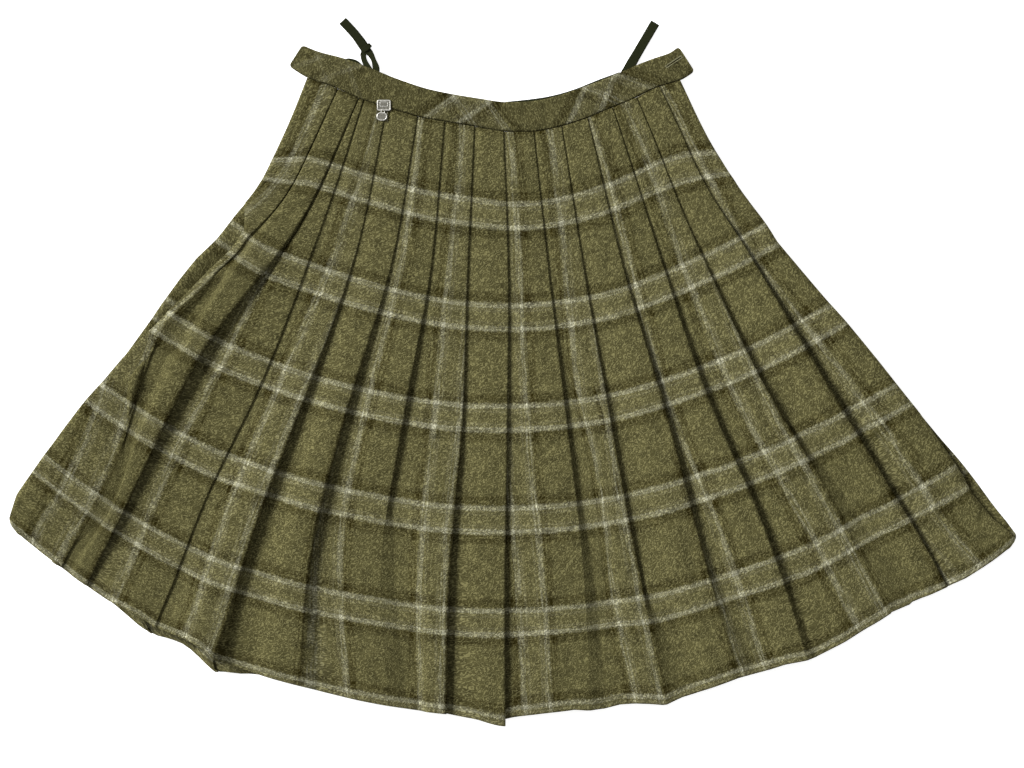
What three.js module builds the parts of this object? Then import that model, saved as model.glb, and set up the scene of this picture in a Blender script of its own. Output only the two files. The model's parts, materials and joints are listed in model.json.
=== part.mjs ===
// A checked wool skirt with knife pleats, laid flat on its back. Millimetres, +Z up.
// X runs along the waist, +Y from hem to waist, and the cloth lies on the plane z = 0.
// The origin is the middle of the box that the skirt fills, on the surface it lies on.
import * as THREE from "three";

// ---- driving sizes ----
const WALL = 1.4; // thickness of the brushed wool cloth
const SEAM_GAP = 0.3; // between pieces that are sewn together
const HAIR = 0.12; // height under which the underside counts as lying on the surface
const PLY = 1.8; // height from one pressed layer to the next, centre to centre
const WAIST_TO_HEM = 589; // centre front, from the waist seam to the hem
const SEAM_HEIGHT = 240; // y of the waist seam at the middle of the skirt
const MIDDLE_X = -6; // the line that the skirt fans out from
const CLOTH_PER_PLEAT = 72; // cloth used by each pleat, two thirds of a check
const LEAST_TUCK = 3; // how far a fold still overlaps where its pleat is spread
const LEAST_FACE = 5; // what a fold's tuck leaves of the face before it
const EMERGES = 1.4; // how far beyond a fold the cloth below it comes out
const BEFORE_TUCK = 1.6; // how far before its tuck a face has reached its full height
const BACK_FLAT = 30; // the back panel's last face lies level over this width
const PRESSED_HEIGHT = 2 * PLY; // a pressed pleat: face, return and underlay
const FRONT_REST = WALL + PRESSED_HEIGHT + SEAM_GAP + WALL / 2; // front's lowest centre line

// Radius of the curve that the cloth's cross grain follows, v = 0 at the waist seam, 1 at the hem.
const crossGrainRadius = (v) => 325 + 700 * v - 260 * v * v;

// Where each front fold runs: x at five places from seam to hem, its height where the pleat
// has opened, and how far the hem hangs below an even line at the fold.
const FOLD_COLUMNS = ["seam", "quarter", "half", "threeQuarter", "hem", "ridge", "hang"];
const FRONT_FOLDS = [
  [-175, -246, -345, -394, -451, 7, -10],
  [-154, -218, -305, -369, -426, 10, -9],
  [-149, -196, -248, -309, -357, 7, -5],
  [-126, -157, -205, -256, -296, 9, -3],
  [-95, -121, -163, -199, -212, 9, -6],
  [-68, -82, -108, -130, -123, 6, -5],
  [-38, -45, -50, -62, -66, 9, -4],
  [-9, -4, -5, -7, -7, 9, 3],
  [21, 37, 55, 72, 80, 7, -6],
  [49, 72, 98, 125, 156, 9, 0],
  [75, 110, 152, 189, 227, 7, -5],
  [100, 147, 194, 251, 296, 9, 1],
  [124, 183, 245, 317, 380, 9, -3],
  [147, 219, 293, 365, 435, 11, 6],
].map((row) => Object.fromEntries(FOLD_COLUMNS.map((name, i) => [name, row[i]])));

// The two side edges of the skirt, in the same columns.
const LEFT_EDGE = { seam: -203, quarter: -268, half: -357, threeQuarter: -441, hem: -505 };
const RIGHT_EDGE = { seam: 168, quarter: 244, half: 334, threeQuarter: 420, hem: 505 };

// The waist seam, with the width of the band above it.
const BAND_COLUMNS = ["x", "y", "width"];
const BAND = [
  [-223.3, 305.2, 25],
  [-204, 293.5, 28],
  [-177, 284, 30],
  [-153, 273, 32],
  [-125, 264, 30],
  [-95, 255, 29],
  [-68, 250, 28],
  [-38, 245, 28],
  [-9, 240, 29],
  [23, 240, 30],
  [49, 245, 30],
  [74, 253, 30],
  [98, 263, 29],
  [120, 272, 29],
  [145, 284, 28],
  [168, 291, 29],
  [182.8, 299.8, 29.4],
].map((row) => Object.fromEntries(BAND_COLUMNS.map((name, i) => [name, row[i]])));
const BAND_STEPS = 2; // stations of the band for each row of the table

const BAND_WALL = 3; // band, its facing and the seam allowance between them
const SEAM_PLY = 1.2; // height that the seam allowance adds under the front band
const BAND_REST = FRONT_REST + SEAM_PLY; // underside of the front band
const BAND_TURN = 22.4; // length over which its ends turn down to the back band
const BAND_REACH = 0.7; // stations to each side that set the band's direction at a place

// ---- small mathematics ----
const lerp = (a, b, t) => a + (b - a) * t;
const clamp = (x, low, high) => Math.min(Math.max(x, low), high);
const smooth = (low, high, x) => THREE.MathUtils.smoothstep(x, low, high);

// A smooth curve through evenly spaced values, place counted in values from the first.
function curveAt(values, place) {
  const i = Math.min(Math.floor(place), values.length - 2);
  const f = place - i;
  const at = (k) => values[clamp(k, 0, values.length - 1)];
  const before = i > 0 ? at(i - 1) : 2 * at(0) - at(1);
  const after = i + 2 < values.length ? at(i + 2) : 2 * at(i + 1) - at(i);
  const slopeA = (at(i + 1) - before) / 2;
  const slopeB = (after - at(i)) / 2;
  const f2 = f * f;
  const f3 = f2 * f;
  return (2 * f3 - 3 * f2 + 1) * at(i) + (f3 - 2 * f2 + f) * slopeA +
    (3 * f2 - 2 * f3) * at(i + 1) + (f3 - f2) * slopeB;
}

const alongFold = (row, v) =>
  curveAt([row.seam, row.quarter, row.half, row.threeQuarter, row.hem], clamp(v, 0, 1) * 4);

// A station of the band, s counted in rows of its table.
const bandAt = (s) =>
  Object.fromEntries(BAND_COLUMNS.map((name) => [name, curveAt(BAND.map((row) => row[name]), s)]));

// Height of the waist seam at x.
function seamY(x) {
  const i = clamp(BAND.findIndex((row) => row.x > x) - 1, 0, BAND.length - 2);
  return bandAt(i + (x - BAND[i].x) / (BAND[i + 1].x - BAND[i].x)).y;
}

// y of the cross grain at x, v of the way from the waist seam to the hem.
function grainY(x, v) {
  const arc = (w) => {
    const radius = crossGrainRadius(w);
    const across = Math.min(Math.abs(x - MIDDLE_X), radius * 0.98);
    return SEAM_HEIGHT - WAIST_TO_HEM * w + radius - Math.sqrt(radius * radius - across * across);
  };
  const seamFix = seamY(clamp(x, BAND[1].x, BAND[15].x)) - arc(0);
  return arc(v) + seamFix * (1 - smooth(0, 0.3, v));
}

// ---- walls ----
// A closed wall of even thickness about a grid of centre points, grid[i][j].
// Its outside is the side that (next i) x (next j) points to.
function wallAbout(grid, thickness = WALL) {
  const rows = grid.length;
  const columns = grid[0].length;
  const direction = (a, b) => new THREE.Vector3().subVectors(b, a).normalize();
  const positions = [];
  const index = [];
  const sides = [0.5, -0.5].map((side) =>
    grid.map((line, i) =>
      line.map((point, j) => {
        const before = i > 0 ? direction(grid[i - 1][j], point) : null;
        const after = i < rows - 1 ? direction(point, grid[i + 1][j]) : null;
        const along = new THREE.Vector3();
        if (before) along.add(before);
        if (after) along.add(after);
        along.normalize();
        const across = direction(line[Math.max(j - 1, 0)], line[Math.min(j + 1, columns - 1)]);
        const normal = new THREE.Vector3().crossVectors(along, across).normalize();
        const lean = before && after ? Math.max(before.dot(along), 0.75) : 1;
        const offset = (side * thickness) / lean;
        positions.push(point.x + normal.x * offset, point.y + normal.y * offset,
          point.z + normal.z * offset);
        return positions.length / 3 - 1;
      })
    )
  );
  const quad = (a, b, c, d) => index.push(a, b, c, a, c, d);
  const [top, under] = sides;
  for (let i = 0; i < rows - 1; i++) {
    for (let j = 0; j < columns - 1; j++) {
      quad(top[i][j], top[i + 1][j], top[i + 1][j + 1], top[i][j + 1]);
      quad(under[i][j], under[i][j + 1], under[i + 1][j + 1], under[i + 1][j]);
    }
    quad(top[i][0], under[i][0], under[i + 1][0], top[i + 1][0]);
    const end = columns - 1;
    quad(top[i][end], top[i + 1][end], under[i + 1][end], under[i][end]);
  }
  for (let j = 0; j < columns - 1; j++) {
    quad(top[0][j], top[0][j + 1], under[0][j + 1], under[0][j]);
    const end = rows - 1;
    quad(top[end][j], under[end][j], under[end][j + 1], top[end][j + 1]);
  }
  const geometry = new THREE.BufferGeometry();
  geometry.setAttribute("position", new THREE.Float32BufferAttribute(positions, 3));
  geometry.setIndex(index);
  return geometry;
}

// Cloth that lies within a hair of the surface is pressed flat on it.
function settle(geometry) {
  const position = geometry.getAttribute("position");
  for (let i = 0; i < position.count; i++) {
    if (Math.abs(position.getZ(i)) < HAIR) position.setZ(i, 0);
  }
  return geometry;
}

// ---- pleats ----
const ARC_STEPS = 3; // straight stretches in each bend of the cloth

// One fold in section: over the ridge, back under it, and round to the underlay.
// The bends have a quarter of the height as radius, so pressed layers lie one PLY apart.
function foldSection(x, tuck, height) {
  const radius = height / 4;
  const ridge = { x: x - radius, z: height - radius };
  const valley = { x: x - tuck + radius, z: radius };
  const dx = valley.x - ridge.x;
  const dz = valley.z - ridge.z;
  const heading = Math.atan2(dz, dx) - Math.asin((2 * radius) / Math.hypot(dx, dz));
  const turn = heading > 0 ? heading - 2 * Math.PI : heading;
  const points = [];
  for (let k = 0; k <= ARC_STEPS; k++) {
    const a = (turn * k) / ARC_STEPS;
    points.push({ x: ridge.x - radius * Math.sin(a), z: ridge.z + radius * Math.cos(a) });
  }
  for (let k = ARC_STEPS; k >= 0; k--) {
    const a = (turn * k) / ARC_STEPS;
    points.push({ x: valley.x + radius * Math.sin(a), z: valley.z - radius * Math.cos(a) });
  }
  return points;
}

// How far fold i tucks under, from the cloth that the visible width leaves over.
function tuckOf(width) {
  const spare = (CLOTH_PER_PLEAT - width) / 2;
  return clamp(spare, LEAST_TUCK, Math.max(width - LEAST_FACE, LEAST_TUCK));
}

// The section of a pleated panel, left edge to right edge, with heights above its lowest line.
// flatShare is the share of each visible face that lies at its fold's full height.
function pleatSection(left, folds, heights, right, flatShare, edge) {
  const points = [...edge.left(left, heights[0])];
  let from = left;
  folds.forEach((x, i) => {
    const width = x - from;
    const tuck = tuckOf(width);
    if (i > 0) points.push({ x: from + EMERGES, z: HAIR });
    const rise = x - Math.max(tuck + BEFORE_TUCK, flatShare * width);
    const level = flatShare > 0.5 ? 1 : lerp(1, 0.94, smooth(0, 30, rise - from));
    points.push({ x: Math.max(rise, from + BEFORE_TUCK + EMERGES / 2), z: heights[i] * level });
    points.push(...foldSection(x, tuck, heights[i]));
    from = x;
  });
  points.push({ x: from + EMERGES, z: HAIR });
  points.push(...edge.right(right, heights[heights.length - 1], from));
  return points;
}

const ROWS = [0, 0.07, 0.16, 0.27, 0.38, 0.5, 0.62, 0.74, 0.87, 1]; // levels from seam to hem

// Where the front stops short of the back at the sides: the back shows beyond it there.
const LEFT_INSET = 15;
const RIGHT_INSET = 12;
const frontInsetLeft = (v) => LEFT_INSET * smooth(0.22, 0.34, v) * (1 - smooth(0.42, 0.6, v));
const frontInsetRight = (v) => RIGHT_INSET * smooth(0.66, 0.85, v);

// How much longer or shorter the hem hangs at x, from the folds' own values.
function hangAt(x) {
  const knots = FRONT_FOLDS.map((row) => [row.hem, row.hang]);
  knots.unshift([LEFT_EDGE.hem, -11]);
  knots.push([RIGHT_EDGE.hem, 13]);
  const i = clamp(knots.findIndex(([k]) => k > x) - 1, 0, knots.length - 2);
  const [xa, a] = knots[i];
  const [xb, b] = knots[i + 1];
  return lerp(a, b, clamp((x - xa) / (xb - xa), 0, 1));
}

// The back hem drops below the front's at the lower left.
const BACK_DROP = 10;
const backDrop = (x) => BACK_DROP * smooth(-405, -350, x) * (1 - smooth(-300, -250, x));

const panelY = (x, v, drop) =>
  grainY(x, v) - (hangAt(x) + drop) * smooth(0.8, 1, v) - 2 * SEAM_GAP * (1 - v);

// The front's edges turn down to the back panel, SEAM_GAP above it.
const FRONT_EDGE = {
  left: (x, height) => [
    { x: x + 1, z: WALL + SEAM_GAP - FRONT_REST },
    { x: x + 1.6, z: 0.35 * height },
    { x: x + 4, z: 0.8 * height },
  ],
  right: (x, height, from) => [
    { x: Math.max(lerp(from, x, 0.6), from + 3), z: 0.5 * height },
    { x: x - 4, z: 0.6 * height },
    { x: x - 1.6, z: 0.2 * height },
    { x: x - 1, z: WALL + SEAM_GAP - FRONT_REST },
  ],
};

function frontPanel() {
  const columns = ROWS.map((v) => {
    const left = alongFold(LEFT_EDGE, v) + frontInsetLeft(v);
    const right = alongFold(RIGHT_EDGE, v) - frontInsetRight(v);
    const folds = FRONT_FOLDS.map((row) => alongFold(row, v));
    folds[0] = Math.max(folds[0], left + 9);
    const heights = FRONT_FOLDS.map((row) => lerp(PRESSED_HEIGHT, row.ridge, smooth(0.15, 0.6, v)));
    return pleatSection(left, folds, heights, right, 0.3, FRONT_EDGE)
      .map((p) => new THREE.Vector3(p.x, panelY(p.x, v, 0), FRONT_REST + p.z));
  });
  // columns[v][section] turned about, so that the wall's first direction follows the section
  const grid = columns[0].map((_, i) => columns.map((line) => line[i]).reverse());
  return wallAbout(grid);
}

// The back is worked as seen from behind: turned over about the Y axis, with even pleats.
const BACK_EDGE = {
  left: (x) => [{ x: x + WALL / 2, z: PRESSED_HEIGHT }],
  right: (x, height, from) => [
    { x: Math.max(from + LEAST_FACE, x - BACK_FLAT), z: height },
    { x: x - WALL / 2, z: height },
  ],
};

function backPanel() {
  const count = FRONT_FOLDS.length;
  const columns = ROWS.map((v) => {
    const left = -alongFold(RIGHT_EDGE, v);
    const right = -alongFold(LEFT_EDGE, v);
    const folds = FRONT_FOLDS.map((_, i) => lerp(left, right, (i + 1) / (count + 1)));
    const heights = FRONT_FOLDS.map(() => PRESSED_HEIGHT);
    return pleatSection(left, folds, heights, right, 0.75, BACK_EDGE)
      .map((p) => new THREE.Vector3(
        -p.x, panelY(-p.x, v, backDrop(-p.x)), WALL / 2 + PRESSED_HEIGHT - p.z));
  });
  const grid = columns[0].map((_, i) => columns.map((line) => line[i]).reverse());
  return settle(wallAbout(grid));
}

// ---- waistband ----
// A band follows the waist seam. Across it, its wall thins to the two edges.
const BAND_ACROSS = [
  { share: 0, half: 0.55 },
  { share: 0.1, half: 1 },
  { share: 0.9, half: 1 },
  { share: 1, half: 0.55 },
];

// Outward direction, from seam to top edge, at a station of the band.
function bandUp(s) {
  const a = bandAt(Math.max(s - BAND_REACH, 0));
  const b = bandAt(Math.min(s + BAND_REACH, BAND.length - 1));
  return new THREE.Vector2(a.y - b.y, b.x - a.x).normalize();
}

function bandSolid(middleHeight) {
  const positions = [];
  const index = [];
  const ring = BAND_ACROSS.length * 2;
  const stations = (BAND.length - 1) * BAND_STEPS;
  for (let i = 0; i <= stations; i++) {
    const row = bandAt(i / BAND_STEPS);
    const up = bandUp(i / BAND_STEPS);
    const section = [
      ...BAND_ACROSS.map((p) => ({ share: p.share, z: p.half })),
      ...[...BAND_ACROSS].reverse().map((p) => ({ share: p.share, z: -p.half })),
    ];
    section.forEach((p) => {
      const z = middleHeight(row.x) + (p.z * BAND_WALL) / 2;
      positions.push(row.x + up.x * p.share * row.width, row.y + up.y * p.share * row.width, z);
    });
  }
  for (let i = 0; i < stations; i++) {
    for (let k = 0; k < ring; k++) {
      const a = i * ring + k;
      const b = i * ring + ((k + 1) % ring);
      index.push(a, a + ring, b + ring, a, b + ring, b);
    }
  }
  const last = stations * ring;
  for (let k = 1; k < ring - 1; k++) {
    index.push(0, k, k + 1);
    index.push(last, last + k + 1, last + k);
  }
  const geometry = new THREE.BufferGeometry();
  geometry.setAttribute("position", new THREE.Float32BufferAttribute(positions, 3));
  geometry.setIndex(index);
  return geometry;
}

// The front band lies level and turns down to the back band at its two ends.
function frontBandHeight(x) {
  const fromEnd = Math.min(x - BAND[0].x, BAND[BAND.length - 1].x - x);
  const low = BAND_WALL + SEAM_GAP + BAND_WALL / 2;
  return lerp(low, BAND_REST + BAND_WALL / 2, smooth(0, BAND_TURN, fromEnd));
}

// ---- ribbons ----
const RIBBON = 0.9; // thickness of the hanging ribbon
const RIBBON_PLY = 1.2; // between its two plies

// A flat ribbon along stations { x, y, z, width }, each crossing its own heading squarely.
function ribbonAlong(stations, headings) {
  const grid = stations.map((s, i) => {
    const a = headings[i];
    const side = new THREE.Vector3(-Math.sin(a), Math.cos(a), 0).multiplyScalar(s.width / 2);
    const centre = new THREE.Vector3(s.x, s.y, s.z);
    return [centre.clone().sub(side), centre.clone().add(side)];
  });
  return wallAbout(grid, RIBBON);
}

const headingOf = (a, b) => Math.atan2(b.y - a.y, b.x - a.x);

// A loop: one leg out to the tip, over it, and the other leg back on top.
function loopRibbon(lower, upper) {
  const heading = (leg, i) => headingOf(leg[Math.max(i - 1, 0)], leg[Math.min(i + 1, leg.length - 1)]);
  const tip = lower[lower.length - 1];
  const end = heading(lower, lower.length - 1);
  const turn = {
    x: tip.x + Math.cos(end) * RIBBON_PLY * 0.5,
    y: tip.y + Math.sin(end) * RIBBON_PLY * 0.5,
    z: tip.z + RIBBON_PLY / 2,
    width: tip.width,
  };
  const stations = [...lower, turn, ...[...upper].reverse()];
  const headings = [
    ...lower.map((_, i) => heading(lower, i)),
    end,
    ...upper.map((_, i) => heading(upper, i)).reverse(),
  ];
  return ribbonAlong(stations, headings);
}

const RIBBON_LOW = RIBBON / 2 + 0.15; // centre line of a ribbon that lies on the surface
const TAPE_REST = BAND_WALL + SEAM_GAP + RIBBON / 2; // centre line of the tape on the back band
const UNDER_BAND = TAPE_REST + RIBBON + SEAM_GAP; // a ribbon that comes out above the tape

function rightLoop() {
  const ply = [
    { x: 111, y: 293, z: UNDER_BAND, width: 10 },
    { x: 116, y: 301.5, z: UNDER_BAND, width: 10 },
    { x: 120.5, y: 309.5, z: UNDER_BAND * 0.75, width: 10 },
    { x: 126, y: 319, z: RIBBON_LOW, width: 9.5 },
    { x: 142, y: 346.3, z: RIBBON_LOW, width: 9.4 },
  ];
  return loopRibbon(ply, ply.map((s) => ({ ...s, z: s.z + RIBBON_PLY })));
}

function leftLoop() {
  const stem = [
    { x: -147.5, y: 323.5, z: RIBBON_LOW, width: 9 },
    { x: -157, y: 337, z: RIBBON_LOW, width: 9 },
    { x: -168.5, y: 349.5, z: RIBBON_LOW, width: 9 },
  ];
  const left = [
    { x: -139, y: 295, z: UNDER_BAND, width: 7 },
    { x: -143.5, y: 302.5, z: UNDER_BAND, width: 6.5 },
    { x: -147.5, y: 310, z: UNDER_BAND * 0.6, width: 5.5 },
    { x: -149, y: 316.5, z: RIBBON_LOW, width: 6 },
  ];
  const right = [
    { x: -136.5, y: 294.5, z: UNDER_BAND, width: 7 },
    { x: -136, y: 303, z: UNDER_BAND, width: 7 },
    { x: -138.5, y: 311, z: UNDER_BAND * 0.6, width: 5 },
    { x: -142, y: 318, z: RIBBON_LOW, width: 6.5 },
  ];
  const raise = (s) => ({ ...s, z: s.z + RIBBON_PLY });
  return loopRibbon([...left, ...stem], [...right, ...stem].map(raise));
}

// The tape lies on the inside of the back band, a little proud of the front band's edge.
const TAPE_FROM = 8; // station of the band where it comes into view
const TAPE_TO = 13;
const TAPE_WIDTH = 9;
const TAPE_PROUD = { 8: 0.6, 9: 2.4, 10: 2.2, 11: 3, 12: 4.5, 13: 2 };

function waistTape() {
  const stations = [];
  const headings = [];
  for (let i = TAPE_FROM; i <= TAPE_TO; i++) {
    const up = bandUp(i);
    const out = BAND[i].width + TAPE_PROUD[i] - TAPE_WIDTH / 2;
    stations.push({
      x: BAND[i].x + up.x * out,
      y: BAND[i].y + up.y * out,
      z: TAPE_REST,
      width: TAPE_WIDTH,
    });
    headings.push(Math.atan2(-up.x, up.y));
  }
  return ribbonAlong(stations, headings);
}

// ---- charm ----
const CHARM_X = -128;
const CHARM_REST = FRONT_REST + PRESSED_HEIGHT + WALL / 2 + SEAM_GAP; // just above the pleats

// A plate with round corners, lying level.
function plate(centreX, centreY, width, depth, corner, thick) {
  const shape = new THREE.Shape();
  const [x, y] = [centreX - width / 2, centreY - depth / 2];
  shape.moveTo(x + corner, y);
  shape.lineTo(x + width - corner, y);
  shape.absarc(x + width - corner, y + corner, corner, -Math.PI / 2, 0);
  shape.absarc(x + width - corner, y + depth - corner, corner, 0, Math.PI / 2);
  shape.absarc(x + corner, y + depth - corner, corner, Math.PI / 2, Math.PI);
  shape.absarc(x + corner, y + corner, corner, Math.PI, 1.5 * Math.PI);
  const solid = new THREE.ExtrudeGeometry(shape, { depth: thick, bevelEnabled: false, curveSegments: 4 });
  return solid.translate(0, 0, CHARM_REST);
}

const charmPlate = () => plate(CHARM_X, 265.5, 14, 11, 1.5, 1.6);
const charmDrop = () => plate(CHARM_X - 2, 254.3, 11, 8.6, 4, 1.8);

// ---- the skirt ----
const WOOL = { color: 0x6c6742, roughness: 0.95, metalness: 0 };
const TRIM = { color: 0x282d1e, roughness: 0.85, metalness: 0 };
const PEWTER = { color: 0x9a9a94, roughness: 0.4, metalness: 1 };

const skirt = new THREE.Group();

function add(name, geometry, finish) {
  const mesh = new THREE.Mesh(geometry, new THREE.MeshStandardMaterial(finish));
  mesh.name = name;
  skirt.add(mesh);
}

add("front_panel", frontPanel(), WOOL);
add("back_panel", backPanel(), WOOL);
add("waistband_front", bandSolid(frontBandHeight), WOOL);
add("waistband_back", bandSolid(() => BAND_WALL / 2), WOOL);
add("waist_tape", waistTape(), TRIM);
add("hanger_loop_left", leftLoop(), TRIM);
add("hanger_loop_right", rightLoop(), TRIM);
add("charm_plate", charmPlate(), PEWTER);
add("charm_drop", charmDrop(), PEWTER);

export default skirt;
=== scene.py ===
# %% [markdown]
# # A checked, knife-pleated wool skirt, laid flat
# The skirt is one tube of checked wool, folded into knife pleats and sewn to a curved
# waistband. Lying flat it is a fan of cloth: pressed three layers deep at the waist and
# almost open at the hem. This notebook builds the cloth as thin shells that follow the
# pleats, weaves the check from the cloth's own thread coordinates, and adds the small things:
# ribbon loops, stitches and a metal charm.

import json
import math

import bmesh
import bpy
import numpy as np
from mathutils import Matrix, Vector

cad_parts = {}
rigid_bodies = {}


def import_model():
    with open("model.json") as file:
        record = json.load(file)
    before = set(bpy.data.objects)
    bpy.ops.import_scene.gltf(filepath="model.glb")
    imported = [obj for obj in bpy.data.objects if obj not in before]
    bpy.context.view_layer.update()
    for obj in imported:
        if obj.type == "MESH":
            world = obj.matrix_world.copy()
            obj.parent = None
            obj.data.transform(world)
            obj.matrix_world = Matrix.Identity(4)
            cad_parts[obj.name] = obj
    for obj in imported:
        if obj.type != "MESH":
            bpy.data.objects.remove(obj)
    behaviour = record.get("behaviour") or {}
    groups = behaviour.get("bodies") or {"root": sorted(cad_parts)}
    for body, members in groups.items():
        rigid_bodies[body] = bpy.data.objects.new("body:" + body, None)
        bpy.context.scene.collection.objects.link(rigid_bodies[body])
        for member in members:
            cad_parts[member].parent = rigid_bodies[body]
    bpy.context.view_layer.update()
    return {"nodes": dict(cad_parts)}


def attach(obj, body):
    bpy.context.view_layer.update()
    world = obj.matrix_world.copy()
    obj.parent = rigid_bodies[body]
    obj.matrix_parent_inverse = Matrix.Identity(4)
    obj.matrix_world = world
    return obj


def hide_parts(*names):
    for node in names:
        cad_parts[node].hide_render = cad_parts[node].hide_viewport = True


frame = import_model()
MM = 0.001  # tables below are in millimetres, Blender works in metres
print("CAD nodes:", sorted(frame["nodes"]))

# %% [markdown]
# ## Small helpers
# A size that changes along the skirt is kept in a short table and read between its rows. New
# objects stay at the origin, with their place in their mesh, and what a curve or a modifier
# makes is turned into a plain mesh.

# %% Small mathematics


def lerp(a, b, t):
    return a + (b - a) * t


def clamp(x, low, high):
    return max(low, min(high, x))


def smooth(low, high, x):
    t = clamp((x - low) / (high - low), 0.0, 1.0)
    return t * t * (3 - 2 * t)


def curve_at(values, place):
    """A smooth curve through evenly spaced values, place counted from the first."""
    last = len(values) - 1
    i = clamp(math.floor(place), 0, last - 1)
    f = place - i
    before = values[i - 1] if i > 0 else 2 * values[0] - values[1]
    after = values[i + 2] if i + 2 <= last else 2 * values[last] - values[last - 1]
    slope_a = (values[i + 1] - before) / 2
    slope_b = (after - values[i]) / 2
    f2, f3 = f * f, f * f * f
    return (
        (2 * f3 - 3 * f2 + 1) * values[i]
        + (f3 - 2 * f2 + f) * slope_a
        + (3 * f2 - 2 * f3) * values[i + 1]
        + (f3 - f2) * slope_b
    )


def named_rows(columns, rows):
    return [dict(zip(columns, row)) for row in rows]


def from_table(x, table):
    """The value at x in a table of (x, value) rows, straight between them."""
    return float(np.interp(x, *zip(*table)))


print("halfway from 2 to 4 is", from_table(0.5, ((0, 2), (1, 4))))

# %% Objects and meshes


def placed(name, data):
    """A new object at the origin of the scene."""
    piece = bpy.data.objects.new(name, data)
    bpy.context.scene.collection.objects.link(piece)
    return piece


def final_mesh(piece):
    """The plain mesh that an object's curve or modifiers make."""
    graph = bpy.context.evaluated_depsgraph_get()
    return bpy.data.meshes.new_from_object(piece.evaluated_get(graph))


def drawn_curve(name, lines, closed=False, **settings):
    """A curve through the places of each line, in millimetres."""
    curve = bpy.data.curves.new(name, "CURVE")
    for setting, value in settings.items():
        setattr(curve, setting, value)
    for line in lines:
        spline = curve.splines.new("POLY")
        spline.points.add(len(line) - 1)
        for point, place in zip(spline.points, line):
            point.co = (*(np.array(place) * MM), 1)
        spline.use_cyclic_u = closed
    return placed(name + "_lines", curve)


def meshed(name, drawn):
    """Puts a smooth mesh in the place of the object that was drawn for it."""
    mesh = final_mesh(drawn)
    bpy.data.objects.remove(drawn)
    mesh.shade_smooth()
    return placed(name, mesh)


# %% [markdown]
# ## The camera
# The skirt is seen from straight above with a long lens, so its outline hardly changes with
# the height of the cloth. The view is a little over a metre wide.

# %% Camera straight above
FIELD_WIDTH = 1.024  # metres of surface across the view
FIELD_MIDDLE = (0.0, -0.013)
LENS = 135.0
SENSOR = 36.0
CLOTH_LEVEL = 0.008  # height at which the field width holds

camera = placed("camera", bpy.data.cameras.new("camera"))
camera.data.lens = LENS
camera.data.sensor_width = SENSOR
camera.data.clip_end = 20
camera.location = (*FIELD_MIDDLE, FIELD_WIDTH * LENS / SENSOR + CLOTH_LEVEL)
bpy.context.scene.camera = camera
print("camera height", round(camera.location.z, 3))

# %% [markdown]
# ## Sizes of the cloth
# Every fold is a row: where it runs at five places between the waist seam and the hem, how
# far the hem hangs at it, and how far the cloth slips round it between waist and hem. A second
# row says how high it stands and how wide its flank opens. The skirt's solids are made from the
# same places, so the shell lies where they are.

# %% Driving sizes, in millimetres
WALL = 1.4
SEAM_GAP = 0.3
PLY = 1.8  # a layer of cloth in a pressed fold
WAIST_TO_HEM = 589
SEAM_HEIGHT = 240
MIDDLE_X = -6
CLOTH_PER_PLEAT = 72
LEAST_TUCK = 3
PRESSED_HEIGHT = 2 * PLY
# the check: its repeats across and down the cloth, and the first stripe group below the seam
REPEAT_ACROSS = 108.0
REPEAT_DOWN = 102.5
FIRST_BAND_DOWN = 82.0
FRONT_REST = WALL + PRESSED_HEIGHT + SEAM_GAP + WALL / 2

FOLD_COLUMNS = ("seam", "quarter", "half", "three_quarter", "hem", "hang", "slip")
FRONT_FOLDS = named_rows(FOLD_COLUMNS, (
    (-175, -246, -345, -394, -451, -10, 18),
    (-154, -218, -305, -369, -426, -9, 18),
    (-149, -196, -248, -309, -357, -5, 18),
    (-126, -157, -205, -256, -296, -3, 18),
    (-95, -121, -163, -199, -212, -6, 18),
    (-68, -82, -108, -130, -123, -5, 18),
    (-38, -45, -50, -62, -66, -4, 18),
    (-9, -4, -5, -7, -7, 3, 0),
    (21, 37, 55, 72, 80, -6, 18),
    (49, 72, 98, 125, 156, 0, 18),
    (75, 110, 152, 189, 227, -5, 18),
    (100, 147, 194, 251, 296, 1, 18),
    (124, 183, 245, 317, 380, -3, 18),
    (147, 219, 293, 365, 435, 6, 18),
))
# how far each fold stands up, and how wide the soft flank is that it opens into, down the skirt
FORM_COLUMNS = ("stand_quarter", "stand_half", "stand_three_quarter", "stand_hem",
                "soft_half", "soft_three_quarter", "soft_hem")
FOLD_FORMS = named_rows(FORM_COLUMNS, (
    (2.4, 2.2, 1.9, 2.6, 16, 30, 10),
    (6, 11, 10, 5, 8, 20, 24),
    (2.4, 2.6, 2.4, 3, 0, 0, 8),
    (2.4, 8, 11, 12, 6, 18, 22),
    (3, 9, 11, 7, 6, 15, 24),
    (3, 7, 4, 4, 0, 18, 26),
    (3, 5, 9, 10, 0, 0, 2),
    (3, 5, 6, 7, 0, 0, 0),
    (3, 6, 6, 4, 5, 14, 20),
    (3, 6, 6, 4, 5, 14, 22),
    (4, 9, 9, 5, 0, 8, 24),
    (4, 10, 11, 7, 0, 4, 14),
    (4, 10, 8, 4, 8, 18, 26),
    (5, 14.5, 13, 5, 0, 2, 14),
))
SEAM_STAND = 1.8  # at the seam, where it is pressed flat, a fold stands this high
LEFT_EDGE = dict(zip(FOLD_COLUMNS, (-203, -268, -357, -441, -505)))
RIGHT_EDGE = dict(zip(FOLD_COLUMNS, (168, 244, 334, 420, 505)))

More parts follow.
